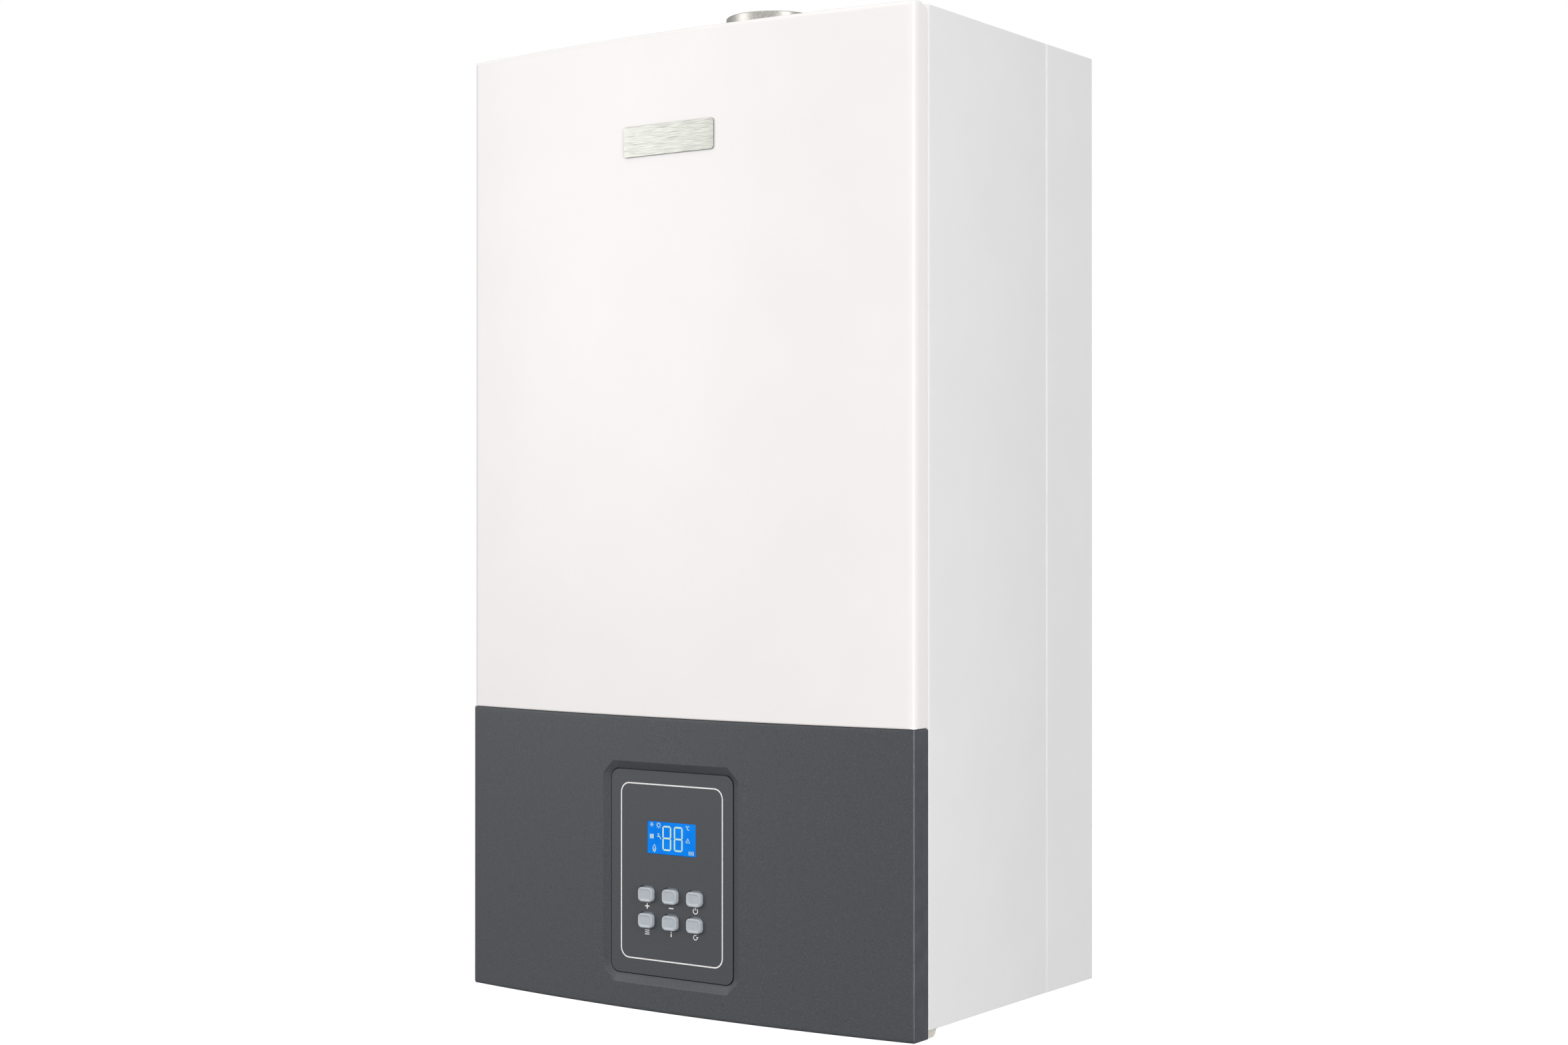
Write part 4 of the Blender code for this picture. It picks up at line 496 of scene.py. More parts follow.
def arc_points(centre, reach, start, end, steps=10):
    """Points on an ellipse about a centre, between two angles in degrees."""
    angle = np.radians(np.linspace(start, end, steps + 1))
    return np.stack([centre[0] + reach[0] * np.cos(angle), centre[1] + reach[1] * np.sin(angle)], -1)


def between(start, end, steps):
    """Rings in even steps from one ring to another, the last one included."""
    return [start + (end - start) * t for t in np.linspace(0, 1, steps + 1)[1:]]


def outline(x, z, radius, inset=0, cut=False):
    """Ring round a rectangle with round or cut corners: an arc or a straight line of two CORNER_STEPS at
    each corner, and even steps along each side.  It starts in the middle of the lower left corner,
    counter-clockwise.  An inset moves every side inwards and comes off the corners' radius."""
    radius -= inset
    x = (x[0] + inset + radius, x[1] - inset - radius)
    z = (z[0] + inset + radius, z[1] - inset - radius)
    arcs = []
    for turn, centre in enumerate(((x[0], z[0]), (x[1], z[0]), (x[1], z[1]), (x[0], z[1]))):
        arc = arc_points(centre, (radius, radius), 180 + 90 * turn, 270 + 90 * turn, 2 * CORNER_STEPS)
        straight = arc[0] + (arc[-1] - arc[0]) * np.linspace(0, 1, len(arc))[:, None]
        arcs.append(straight if cut else arc)
    ring = []
    for i, steps in enumerate((SIDE_STEPS_X, SIDE_STEPS_Z) * 2):
        start, end = arcs[i][-1], arcs[(i + 1) % 4][0]
        t = np.linspace(0, 1, steps + 1)[1:-1, None]
        ring += [arcs[i], start + (end - start) * t]
    return np.roll(np.concatenate(ring), -CORNER_STEPS, axis=0)


def lift(grid, depth):
    """Gives (x, z) points, a ring or a grid of them, their depth: a number or one value a point."""
    return np.stack([grid[..., 0], np.broadcast_to(depth, grid.shape[:-1]), grid[..., 1]], -1)


def filled(ring):
    """Grid inside an outline ring, a Coons patch: the ruled surfaces between opposite sides, less the
    bilinear one through the corners."""
    m, n = FOLD
    closed = np.concatenate([ring, ring[:1]])
    bottom, right = closed[:m + 1], closed[m:m + n + 1]
    top, left = closed[m + n:2 * m + n + 1][::-1], closed[2 * m + n:][::-1]
    u = np.linspace(0, 1, m + 1)[None, :, None]
    v = np.linspace(0, 1, n + 1)[:, None, None]
    ruled = (1 - v) * bottom[None] + v * top[None] + (1 - u) * left[:, None] + u * right[:, None]
    flat = (1 - u) * (1 - v) * bottom[0] + u * (1 - v) * bottom[-1] + u * v * top[-1] + (1 - u) * v * top[0]
    return ruled - flat


def skin(name, rings, mat, body, replaced=(), first=None, last=None, closed=False):
    """A surface through a list of rings; first and last are grids that close its ends, or closed
    joins the last ring to the first."""
    rings = np.array(rings)
    rows, columns = rings.shape[:2]
    points = [rings.reshape(-1, 3)]
    faces = quads(rows, columns, 0, closed, True)
    count = rows * columns
    for grid in (first, last):
        if grid is not None:
            points.append(grid.reshape(-1, 3))
            faces += quads(grid.shape[0], grid.shape[1], count)
            count += grid.shape[0] * grid.shape[1]
    return piece(name, np.concatenate(points), faces, mat, body, replaced)


def bow(x):
    """Depth of the bowed front: a parabola whose crown is in the middle."""
    return CROWN_Y + BOW * (x / HALF_W) ** 2


def share_of_sides(x, z, radius):
    """For each point of an outline ring, 1 on the left and right sides and 0 above and below, by the
    square of the sine of its direction round a corner."""
    ring = outline(x, z, radius)
    across = np.clip(np.abs(ring[:, 0] - sum(x) / 2) - (x[1] - x[0]) / 2 + radius, 0, None)
    along = np.clip(np.abs(ring[:, 1] - sum(z) / 2) - (z[1] - z[0]) / 2 + radius, 0, None)
    return across ** 2 / (across ** 2 + along ** 2)


def rolled_front(x, z, rolls, corner_r, inset):
    """Rings over the edges of a bowed front, from its face round to its sides: at roll angle a each
    edge has come r (1 - sin a) short of its outline and r (1 - cos a) back from the bow, where r is
    the roll of the sides, the top or the bottom."""
    side_r, top_r, bottom_r = (max(r - inset, inset / 2) for r in rolls)
    x = (x[0] + inset, x[1] - inset)
    z = (z[0] + inset, z[1] - inset)
    rings = []
    for angle in ROLL:
        short, back = 1 - math.sin(angle), 1 - math.cos(angle)
        ring_x = (x[0] + side_r * short, x[1] - side_r * short)
        ring_z = (z[0] + bottom_r * short, z[1] - top_r * short)
        ring = outline(ring_x, ring_z, corner_r)
        sides = share_of_sides(ring_x, ring_z, corner_r)
        ends = np.where(ring[:, 1] > sum(z) / 2, top_r, bottom_r)
        rings.append(on_bow(ring, inset + back * (sides * side_r + (1 - sides) * ends)))
    return rings


def on_bow(grid, inset):
    """Gives (x, z) points their depth on the bow, or behind it by an inset."""
    return lift(grid, bow(grid[..., 0]) + inset)


def stepped(ring, y):
    """A ring of the return at depth y, whose top edge sinks by a smooth step on its way back."""
    t = min(max((y - STEP_FRONT_Y) / (STEP_REAR_Y - STEP_FRONT_Y), 0), 1)
    sunk = ring[:, [0, 2]].copy()
    sunk[sunk[:, 1] > COVER_HIGH[2] - TOP_BAND, 1] -= STEP_DROP * t * t * (3 - 2 * t)
    return lift(sunk, y)


def bowed_cover():
    """Pressed steel cover: bowed face, rolled edges and stepped returns, as a solid sheet open behind.
    The rear edge of its top steps down once more where it turns in."""
    x, z = spans(COVER_LOW, COVER_HIGH)
    rear = COVER_HIGH[1]
    levels = list(np.linspace(STEP_FRONT_Y, STEP_REAR_Y, 7)) + [rear - REAR_EASE]
    shells = []
    for inset in (0, SHEET):
        shell = rolled_front(x, z, COVER_ROLL, COVER_CORNER, inset)
        shells.append(shell + [stepped(shell[-1], y) for y in levels])
    outer, inner = shells
    turned_in = [stepped(outer[-1] + (inner[-1] - outer[-1]) * (1 - math.cos(a)),
                         rear - REAR_EASE * (1 - math.sin(a))) for a in ROLL[1:]]
    first, last = (on_bow(filled(shell[0][:, [0, 2]]), inset)
                   for shell, inset in ((outer, 0), (inner, SHEET)))
    rings = outer + turned_in + inner[::-1]
    return skin("enamelled_cover", rings, ENAMEL, "cover", ["front_cover"], first, last)


def gathered(ring):
    """A ring on the bow whose lower side's points are moved along it to the ends of the hinge notches."""
    side = slice(CORNER_STEPS + 1, CORNER_STEPS + SIDE_STEPS_X)
    ends = np.array([NOTCH_X[0], NOTCH_X[1], NOTCH_X[1] + NOTCH_DRAFT])
    reach = NOTCH_X[0] - NOTCH_DRAFT
    middle = np.linspace(-reach, reach, SIDE_STEPS_X - 1 - 2 * len(ends))
    x = np.concatenate([-ends[::-1], middle, ends])
    moved = ring.copy()
    moved[side, 0] = x
    moved[side, 1] += bow(x) - bow(ring[side, 0])
    return moved


def notched(ring):
    """A ring brought back to the fascia's rear edge, except where the lower wall is cut for the hinges."""
    side = slice(CORNER_STEPS + 1, CORNER_STEPS + SIDE_STEPS_X)
    rear = ring.copy()
    rear[:, 1] = FASCIA_HIGH[1]
    x = np.abs(rear[side, 0])
    rear[side, 1] = np.where((x >= NOTCH_X[0]) & (x <= NOTCH_X[1]), NOTCH_FRONT_Y, FASCIA_HIGH[1])
    return rear


def fascia():
    """Graphite front of the control panel, one moulding with a hole through it: the rings run from the
    hole's back edge over seat, pocket wall and bevel to the bowed face, round the outer edges, and back
    along the inside to the boss behind the seat.  Its lower wall is notched for the two hinge feet."""
    x, z = spans(FASCIA_LOW, FASCIA_HIGH)
    plate_x, plate_z = spans(PLATE_LOW, PLATE_HIGH)
    plate_y, seat_y, boss_y = PLATE_LOW[1], PLATE_HIGH[1] + SEAT_GAP, BOARD_LOW[1] - SEAT_GAP
    hole = outline(plate_x, plate_z, SEAT_RADIUS + SEAT_LEDGE, SEAT_LEDGE)
    pocket = outline(plate_x, plate_z, POCKET_RADIUS, -POCKET_CLEARANCE)
    lip = lift(outline(plate_x, plate_z, POCKET_RADIUS, -POCKET_CLEARANCE - EDGE_ROUND),
               plate_y - EDGE_ROUND / 4)
    rim = on_bow(outline(RECESS_X, RECESS_Z, RECESS_CUT, cut=True), EDGE_ROUND / 2)
    outside = outline(RECESS_X, RECESS_Z, RECESS_CUT, -EDGE_ROUND, True)
    edges, inner = ([gathered(ring) for ring in rolled_front(x, z, FASCIA_ROLL, corner, inset)]
                    for corner, inset in ((FASCIA_CORNER, 0), (INNER_CORNER, FASCIA_WALL)))
    boss = outline(BOSS_X, (plate_z[0] - BOSS_BORDER, plate_z[1] + BOSS_BORDER), SEAT_RADIUS)
    face = between(outside, edges[0][:, [0, 2]], FACE_STEPS)[:-1]
    behind = between(inner[0][:, [0, 2]], boss, FACE_STEPS)
    rings = [lift(hole, boss_y), lift(hole, seat_y), lift(pocket, seat_y),
             lift(pocket, plate_y + EDGE_ROUND / 2), lip, *between(lip, rim, BEVEL_STEPS),
             *(on_bow(ring, 0) for ring in [outside, *face]), *edges,
             notched(edges[-1]), notched(inner[-1]), *inner[::-1],
             *(on_bow(ring, FASCIA_WALL) for ring in behind), lift(boss, boss_y)]
    return skin("graphite_fascia", rings, GRAPHITE, "control_panel", ["control_fascia"], closed=True)


def pillow_key(name):
    """Key cap: straight sides, a quarter-round edge 1 mm wide up to a rim, and a face that sinks inside
    the rim by 0.35 mm as (1 - cos) / 2."""
    low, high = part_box(name)
    x = (low[0] + KEY_FLANGE, high[0] - KEY_FLANGE)
    z = (low[2] + KEY_FLANGE, high[2] - KEY_FLANGE - KEY_TOP_CUT)
    front, back, step = low[1], high[1], high[1] - KEY_STEP

    def cap_ring(inset, y):
        return lift(outline(x, z, KEY_CORNER, inset), y)

    flange = outline(*spans(low, high), KEY_CORNER + KEY_FLANGE)
    rings = [lift(flange, back), lift(flange, step), cap_ring(0, step), cap_ring(0, front + KEY_ROLL)]
    for angle in ROLL[::-1][1:]:
        rings.append(cap_ring(KEY_ROLL * (1 - math.sin(angle)), front + KEY_ROLL * (1 - math.cos(angle))))
    for t in np.linspace(0, 1, 7)[1:]:
        rings.append(cap_ring(KEY_ROLL + KEY_RIM * t, front + KEY_DISH * (1 - math.cos(math.pi * t)) / 2))
    face = lift(filled(rings[-1][:, [0, 2]]), front + KEY_DISH)
    tail = lift(filled(flange), back)
    return skin(name + "_cap", rings, KEYS_GREY, "key_" + name.split("_")[1], [name], tail, face)


def badge():
    """Bare metal plate bent to the bow, with round corners and a fine broken edge."""
    x, z = spans(*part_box("name_plate"))
    front = BADGE_BACK - BADGE_THICK
    ring, inner = outline(x, z, BADGE_CORNER), outline(x, z, BADGE_CORNER, BADGE_EDGE)
    rings = [on_bow(ring, BADGE_BACK), on_bow(ring, front + BADGE_EDGE), on_bow(inner, front)]
    return skin("bare_badge", rings, SILVER, "cover", ["name_plate"],
                on_bow(filled(ring), BADGE_BACK), on_bow(filled(inner), front))


def slabs(name, shapes, mat):
    """Flat shapes printed on the control plate or lit in it: each outline of (x, z) points becomes a
    thin slab."""
    front = PLATE_LOW[1] - PRINT_THICK
    rings = [np.asarray(shape, float) for shape in shapes]
    pairs = [(lift(ring, front), lift(ring, front + PRINT_THICK)) for ring in rings]
    return bars(name, pairs, mat, "control_panel", smooth=False)


def bar_between(x, z):
    """Outline of an upright rectangle between its extents."""
    return [(x[0], z[0]), (x[1], z[0]), (x[1], z[1]), (x[0], z[1])]


def bar(x, z, width, height):
    """Outline of an upright rectangle about its centre."""
    return bar_between((x - width / 2, x + width / 2), (z - height / 2, z + height / 2))


def stroke(x, z, length, width, degrees):
    """Outline of a bar turned by an angle, starting at its centre point."""
    turn = math.radians(degrees)
    across = np.array([-math.sin(turn), math.cos(turn)]) * width / 2
    along = np.array([math.cos(turn), math.sin(turn)]) * length
    start = np.array([x, z])
    return [start - across, start + along - across, start + along + across, start + across]


def ring_part(x, z, radius, width, start, end):
    """Outline of part of a ring between two angles in degrees."""
    out, back = (arc_points((x, z), (r, r), start, end, ARC_STEPS)
                 for r in (radius + width / 2, radius - width / 2))
    return np.concatenate([out, back[::-1]])


def printed_line():
    """Printed frame round the display and keys: one closed band, 1 mm wide."""
    front, back = PLATE_LOW[1] - PRINT_THICK, PLATE_LOW[1] - PRINT_THICK / 4
    rings = [lift(outline(LINE_X, LINE_Z, LINE_RADIUS, inset), depth)
             for inset, depth in ((0, back), (0, front), (LINE_WIDTH, front), (LINE_WIDTH, back))]
    return skin("printed_frame", rings, INK, "control_panel", closed=True)


def key_signs():
    """Printed signs under the keys: plus, minus, power, menu bars, the letter i and a round arrow.  The
    numbers are shares of the sign's size and of its line."""
    size, line = SIGN_SIZE, SIGN_LINE
    spots = {}
    for name in KEY_NAMES:
        x, z = spans(*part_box("button_" + name))
        spots[name] = (sum(x) / 2, sum(z) / 2 - SIGN_DROP)
    x, z = spots["plus"]
    shapes = [bar(x, z, size, line)]
    shapes += [bar(x, z + side * (size + line) / 4, line, (size - line) / 2) for side in SIDES]
    x, z = spots["minus"]
    shapes.append(bar(x, z, size, line))
    x, z = spots["power"]
    shapes += [ring_part(x, z, size / 2, line * 0.75, 125, 415),
               bar(x, z + size * 0.38, line * 0.75, size * 0.5)]
    x, z = spots["mode"]
    shapes += [bar(x, z + row * size * 0.36, size, line * 0.7) for row in (-1, 0, 1)]
    x, z = spots["info"]
    shapes += [bar(x, z - size * 0.12, line, size * 0.6), bar(x, z + size * 0.42, line, line)]
    x, z = spots["reset"]
    shapes.append(ring_part(x, z, size * 0.42, line * 0.75, 60, 350))
    arrow = np.array([(-1.3, 0), (0.1, -1.6), (1.4, 0.2)]) * line
    shapes.append(arrow + (x + size * 0.42, z + size * 0.1))
    return slabs("printed_signs", shapes, INK)


def pointed(start, end, line):
    """Outline of a bar between two points, as wide as its line, with a right-angled point at each end."""
    start, end = np.array(start), np.array(end)
    along = (end - start) / np.linalg.norm(end - start) * line / 2
    across = np.array([-along[1], along[0]])
    return [start, start + along - across, end - along - across,
            end, end - along + across, start + along + across]


def digit(x, z, width, height, line):
    """The seven bars of a figure eight, whose pointed ends leave thin mitred gaps."""
    gap, half = line * SEGMENT_GAP, line / 2
    shapes = []
    for level in (0, 0.5, 1):
        mid = z + level * height + (0.5 - level) * line
        shapes.append(pointed((x + gap + half, mid), (x + width - gap - half, mid), line))
    for side in (x + half, x + width - half):
        for low, high in ((z + half, z + height / 2), (z + height / 2, z + height - half)):
            shapes.append(pointed((side, low + gap), (side, high - gap), line))
    return shapes


def drop_ring(x, z, width, height, line):
    """Two halves of a flame outline: half the width times sin a, drawn out to a point above."""
    angle = np.linspace(0, math.pi, 15)
    share = angle / math.pi
    bulge = np.sin(angle) * (1 - 0.45 * share) * 1.25
    halves = []
    for side in SIDES:
        out = np.stack([x + side * width / 2 * bulge, z + height * share], -1)
        back = np.stack([x + side * (width / 2 - line) * bulge, z + line + (height - 2.2 * line) * share], -1)
        halves.append(np.concatenate([out, back[::-1]]))
    return halves


def screen_signs():
    """Lit signs of the display: two large figures, a small pair, frost, sun, tap, radiator, flame,
    warning triangle, and degrees.  The numbers are shares of the window's width and height, from its
    upper left corner, and of the figures' line."""
    low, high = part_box("display_window")
    wide, tall = high[0] - low[0], high[2] - low[2]

    def at(u, v):
        return low[0] + u * wide, high[2] - v * tall

    def rays(x, z, reach, length, width, count):
        starts = arc_points((x, z), (reach, reach), 0, 360, count)[:-1]
        return [stroke(*start, length, width, 360 / count * i) for i, start in enumerate(starts)]

    line = tall * SEGMENT_LINE
    shapes = []
    for left in (0.315, 0.555):
        shapes += digit(*at(left, 0.885), wide * 0.185, tall * 0.785, line)
    for left in (0.865, 0.925):
        shapes += digit(*at(left, 0.955), wide * 0.045, tall * 0.115, line * 0.28)
    shapes += rays(*at(0.09, 0.09), 0.0002, wide * 0.036, line * 0.3, 6)
    x, z = at(0.235, 0.10)
    shapes.append(ring_part(x, z, wide * 0.03, line * 0.35, 0, 350))
    shapes += rays(x, z, wide * 0.042, wide * 0.012, line * 0.3, 8)
    x, z = at(0.86, 0.12)
    shapes += [ring_part(x, z, wide * 0.028, line * 0.4, 50, 310),
               ring_part(x - wide * 0.045, z + tall * 0.05, wide * 0.008, line * 0.25, 0, 350)]
    x, z = at(0.09, 0.46)
    shapes += [bar(x + i * wide * 0.021, z, wide * 0.015, tall * 0.14) for i in (-1.5, -0.5, 0.5, 1.5)]
    x, z = at(0.235, 0.45)
    shapes += [bar(x, z, wide * 0.06, line * 0.5),
               bar(x - wide * 0.005, z + tall * 0.045, line * 0.4, tall * 0.06),
               bar(x - wide * 0.005, z + tall * 0.08, wide * 0.045, line * 0.35),
               stroke(x + wide * 0.028, z - tall * 0.01, tall * 0.08, line * 0.5, -70)]
    x, z = at(0.145, 0.965)
    shapes += drop_ring(x, z, wide * 0.075, tall * 0.27, line * 0.42)
    shapes += drop_ring(x, z + tall * 0.035, wide * 0.032, tall * 0.12, line * 0.25)
    x, z = at(0.845, 0.53)
    reach = wide * 0.05
    for i, corner in enumerate(arc_points((x, z), (reach, reach), 90, 330, 2)):
        shapes.append(stroke(*corner, reach * 1.66, line * 0.28, 300 + 120 * i))
    shapes.append(bar(x, z + line * 0.1, line * 0.25, tall * 0.045))
    return slabs("lit_signs", shapes, SEGMENTS)


def turned(name, profile, axis, centre, mat, body, replaced=(), steps=72, closed=True):
    """A turned piece: a profile of (radius, place along the axis) points carried round it, closed or
    ending on the axis."""
    profile = np.asarray(profile, float)
    angle = np.linspace(0, 2 * math.pi, steps, endpoint=False)
    radius, along = profile[:, 0][:, None], profile[:, 1][:, None]
    first = centre[0] + radius * np.cos(angle)
    second = centre[1] + radius * np.sin(angle)
    along = np.broadcast_to(along, first.shape)
    points = np.stack((first, along, second) if axis == "Y" else (first, second, along), -1)
    return piece(name, points, quads(len(profile), steps, 0, closed, True), mat, body, replaced)


def flue_collar():
    """Rolled stainless tube with a round rim."""
    low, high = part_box("flue_collar")
    centre = ((low[0] + high[0]) / 2, (low[1] + high[1]) / 2)
    radius, rim_z, ease = (high[0] - low[0]) / 2, high[2] - COLLAR_EASE, (COLLAR_EASE, COLLAR_EASE)
    profile = [(radius, z) for z in np.linspace(low[2], high[2] - 2 * COLLAR_EASE, 6)]
    profile += [*arc_points((radius - COLLAR_EASE, rim_z), ease, 0, 90, 4),
                *arc_points((radius - COLLAR_WALL + COLLAR_EASE, rim_z), ease, 90, 180, 4),
                (radius - COLLAR_WALL, low[2])]
    return turned("satin_collar", profile, "Z", centre, COLLAR_STEEL, "casing", ["flue_collar"], 128)


def upright(name, section, z, replaced=()):
    """A solid enamelled bar of the casing along Z: an outline of (x, y) points and its two ends."""
    ends = [np.column_stack([section, np.full(len(section), level)]) for level in z]
    return bars(name, [ends], SIDE_ENAMEL, "casing", replaced)


def folded_panel(side):
    """Side sheet, folded: the section of sheet with its lip, rolled 3 mm at the front corner and turned
    in at the rear by a quarter ellipse, carried up the height with its edges broken by 0.3 mm.  Its
    front stands 0.5 mm further out than its rear, level with the cover."""
    node_name = "side_panel_" + SIDES[side]
    low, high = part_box(node_name)
    outer, rear, front = side * (HALF_W - PANEL_INSET), high[1], low[1]
    rear_x = side * PANEL_HIGH[0]
    lip = outer - side * (high[0] - low[0])

    def corner(offset, radius):
        cx, cy = outer - side * (offset + radius), front + offset + radius
        return np.stack([cx + side * radius * np.cos(ROLL), cy - radius * np.sin(ROLL)], -1)

    short, back = 1 - np.cos(ROLL[::-1]), 1 - np.sin(ROLL[::-1])
    turned_in = np.stack([rear_x - side * SEAM_TURN * short, rear - SEAM_RUN * back], -1)
    section = np.concatenate([turned_in, corner(0, PANEL_BEND), [(lip, front), (lip, front + SHEET)],
                              corner(SHEET, PANEL_INNER_BEND)[::-1],
                              [(rear_x - side * (SEAM_TURN + SHEET), rear)]])
    panel = upright(node_name + "_sheet", section, (low[2], high[2]), [node_name])
    soften(panel, PANEL_EDGE)


def seam_bead(side):
    """Painted bead that fills the seam between the side sheet and the rear section to 0.7 mm below the
    rear section's face: an upright ellipse."""
    centre = (side * (HALF_W - BEAD_SUNK - BEAD_DEEP), PANEL_HIGH[1])
    oval = arc_points(centre, (BEAD_DEEP, BEAD_HALF), 0, 345, 23)
    upright("seam_bead_" + SIDES[side], oval, (PANEL_LOW[2] + PANEL_EDGE, PANEL_HIGH[2] - PANEL_EDGE))


def prisms(name, sections, mat, body, replaced=()):
    """Solid bars along X in one piece: each is an outline of (y, z) points and its two ends."""
    pairs = [[np.column_stack([np.full(len(section), x), section]) for x in ends]
             for section, ends in sections]
    return bars(name, pairs, mat, body, replaced)


def hinge_bracket(side):
    """Nylon hinge foot: its lower outline is a 4 mm round in front and a taller quarter ellipse behind,
    under a block inside the side sheet, with a pin towards the middle."""
    node_name = "hinge_bracket_" + SIDES[side]
    low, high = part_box(node_name)
    outer = HALF_W - FOOT_INSET
    inner = outer - BRACKET_THICK
    top, sole = PANEL_LOW[2] - FOOT_GAP, low[2] + FOOT_SOLE
    foot = np.concatenate([
        arc_points((low[1] + FOOT_ROUND, sole + FOOT_ROUND), (FOOT_ROUND, FOOT_ROUND), 180, 270),
        arc_points((high[1] - FOOT_REAR, top), (FOOT_REAR, top - sole), 270, 360), [(low[1], top)]])
    block = bar_between((low[1] + BLOCK_SETBACK, high[1]), (top - BLOCK_LAP, high[2]))
    pin = arc_points((HINGE_Y, HINGE_Z), (HINGE_PIN, HINGE_PIN), 0, 345, 23)
    tip = min(abs(low[0]), abs(high[0]))
    sections = [(foot, (side * inner, side * outer)), (block, (side * inner, side * (outer + BLOCK_LAP))),
                (pin, (side * tip, side * (inner + outer) / 2))]
    soften(prisms("hinge_foot_" + SIDES[side], sections, NYLON, "casing", [node_name]), FOOT_EDGE)


def fluted_knob(name, axis, flutes, mat, body):
    """Plastic knob: radius R (1 - 0.05 (1 + cos n a)) down its side, eased to a shallow dished top, and a
    plain collar behind.  Each ring is a share of the radius, one of the depth, and one of the flutes."""
    low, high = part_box(name)
    order = {"Y": (0, 2, 1), "Z": (0, 1, 2)}[axis]
    centre = [(high[i] + low[i]) / 2 for i in order]
    radius, front, back = (high[0] - low[0]) / 2, low[order[2]], high[order[2]]
    angle = np.linspace(0, 2 * math.pi, flutes * 10, endpoint=False)
    flute = 0.05 * (1 + np.cos(flutes * angle))
    rings = []
    for share, along, cut in ((0.002, 0.06, 0), (0.55, 0.06, 0), (0.68, 0.0, 0), (0.86, 0.0, 0.3),
                              (0.96, 0.04, 0.8), (1.0, 0.12, 1), (1.0, 0.62, 1), (0.97, 0.70, 0.6),
                              (0.8, 0.72, 0), (0.8, 1.0, 0), (0.002, 1.0, 0)):
        reach = radius * share * (1 - cut * flute)
        spot = [centre[0] + reach * np.cos(angle), centre[1] + reach * np.sin(angle),
                np.full(len(angle), front + along * (back - front))]
        rings.append(np.stack([spot[order.index(i)] for i in range(3)], -1))
    return piece(name + "_grip", rings, tube(len(rings), len(angle)), mat, body, [name])


def ribbed_motor(name, body):
    """Pump motor: a turned can with five cooling ribs, a stepped nose and a slotless vent screw.  Its
    profile is in shares of the radius and of the depth behind the front."""
    low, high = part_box(name)
    centre = ((low[0] + high[0]) / 2, (low[2] + high[2]) / 2)
    shares = [(0.0, 1.0), (0.98, 1.0)]
    for start in 0.88 - 0.1 * np.arange(5):
        shares += [(0.98, start), (1.0, start - 0.01), (1.0, start - 0.04), (0.94, start - 0.05),
                   (0.94, start - 0.09)]
    shares += [(0.98, 0.38), (0.98, 0.16), *arc_points((0.90, 0.16), (0.08, 0.10), 0, -90, 6)[1:],
               (0.42, 0.06), (0.40, 0.02), (0.38, 0.01), (0.24, 0.01), (0.22, 0.0), (0.0, 0.0)]
    profile = np.array(shares) * ((high[0] - low[0]) / 2, high[1] - low[1]) + (0, low[1])
    return turned(name + "_can", profile, "Y", centre, BLACK, body, [name], 96, False)


def screws(name, spots, face_y, body, facing=-1):
    """Pan-head screws on a face that looks along facing Y: a quarter-ellipse head round a hexagon
    socket, whose radius is the cosine rule of a regular hexagon."""
    profile = [(0.01, SCREW_HIGH * 0.4), (0.42, SCREW_HIGH * 0.4),
               *arc_points((0.46, 0), (0.54, SCREW_HIGH), 90, 0, 6)]
    around = np.linspace(0, 2 * math.pi, SCREW_STEPS, endpoint=False)
    hexagon = math.cos(math.pi / 6) / np.cos((around + math.pi / 6) % (math.pi / 3) - math.pi / 6)
    points, faces = [], []
    for x, z in spots:
        faces += tube(len(profile), SCREW_STEPS, len(points) * SCREW_STEPS)
        for share, height in profile:
            reach = SCREW_RADIUS * share * (hexagon if share < 0.46 else 1)
            ring = np.stack([x + reach * np.cos(around), z + reach * np.sin(around)], -1)
            points.append(lift(ring, face_y + facing * height))
    return piece(name, np.concatenate(points), faces, STAINLESS, body)


def cover_screws():
    """Twelve screws round the chamber cover."""
    low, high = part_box("chamber_cover")
    xs, zs = (np.linspace(start + SCREW_EDGE, end - SCREW_EDGE, 4) for start, end in spans(low, high))
    spots = [(x, z) for x in xs for z in (zs[0], zs[-1])]
    spots += [(x, z) for x in (xs[0], xs[-1]) for z in zs[1:-1]]
    return screws("chamber_screws", spots, low[1], "casing")


def box_lid():
    """Lid on the back of the control box: a raised plate with a rounded edge, two fields of raised
    louvres, whose section is a quarter ellipse, and eight screws."""
    low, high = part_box("control_box")
    foot, top = high[1] - LID_SUNK, high[1] + LID_HIGH
    x = (low[0] + LID_INSET, high[0] - LID_INSET)
    z = (low[2] + LID_INSET + LID_FOOT, high[2] - LID_INSET)
    rings = [lift(outline(x, z, LID_CORNER), foot)]
    for angle in ROLL:
        ring = outline(x, z, LID_CORNER, LID_HIGH * (1 - math.cos(angle)))
        rings.append(lift(ring, high[1] + LID_HIGH * math.sin(angle)))
    last, first = (lift(filled(rings[i][:, [0, 2]]), depth) for i, depth in ((-1, top), (0, foot)))
    skin("control_box_lid", rings, DARK_GREY, "control_panel", (), first, last)
    sections = []
    for middle in LOUVRE_MIDDLES:
        for i in range(LOUVRE_COUNT):
            base = (top - LOUVRE_SUNK, LOUVRE_FIRST_Z + LOUVRE_PITCH * i)
            hood = np.concatenate([arc_points(base, LOUVRE_REACH, 0, 90, 6), [base]])
            sections.append((hood, (middle - LOUVRE_HALF, middle + LOUVRE_HALF)))
    soften(prisms("control_box_louvres", sections, DARK_GREY, "control_panel"), PANEL_EDGE)
    xs, zs = (np.linspace(span[0] + SCREW_EDGE, span[1] - SCREW_EDGE, count)
              for span, count in ((x, 4), (z, 2)))
    screws("control_box_screws", [(px, pz) for px in xs for pz in zs], top, "control_panel", 1)


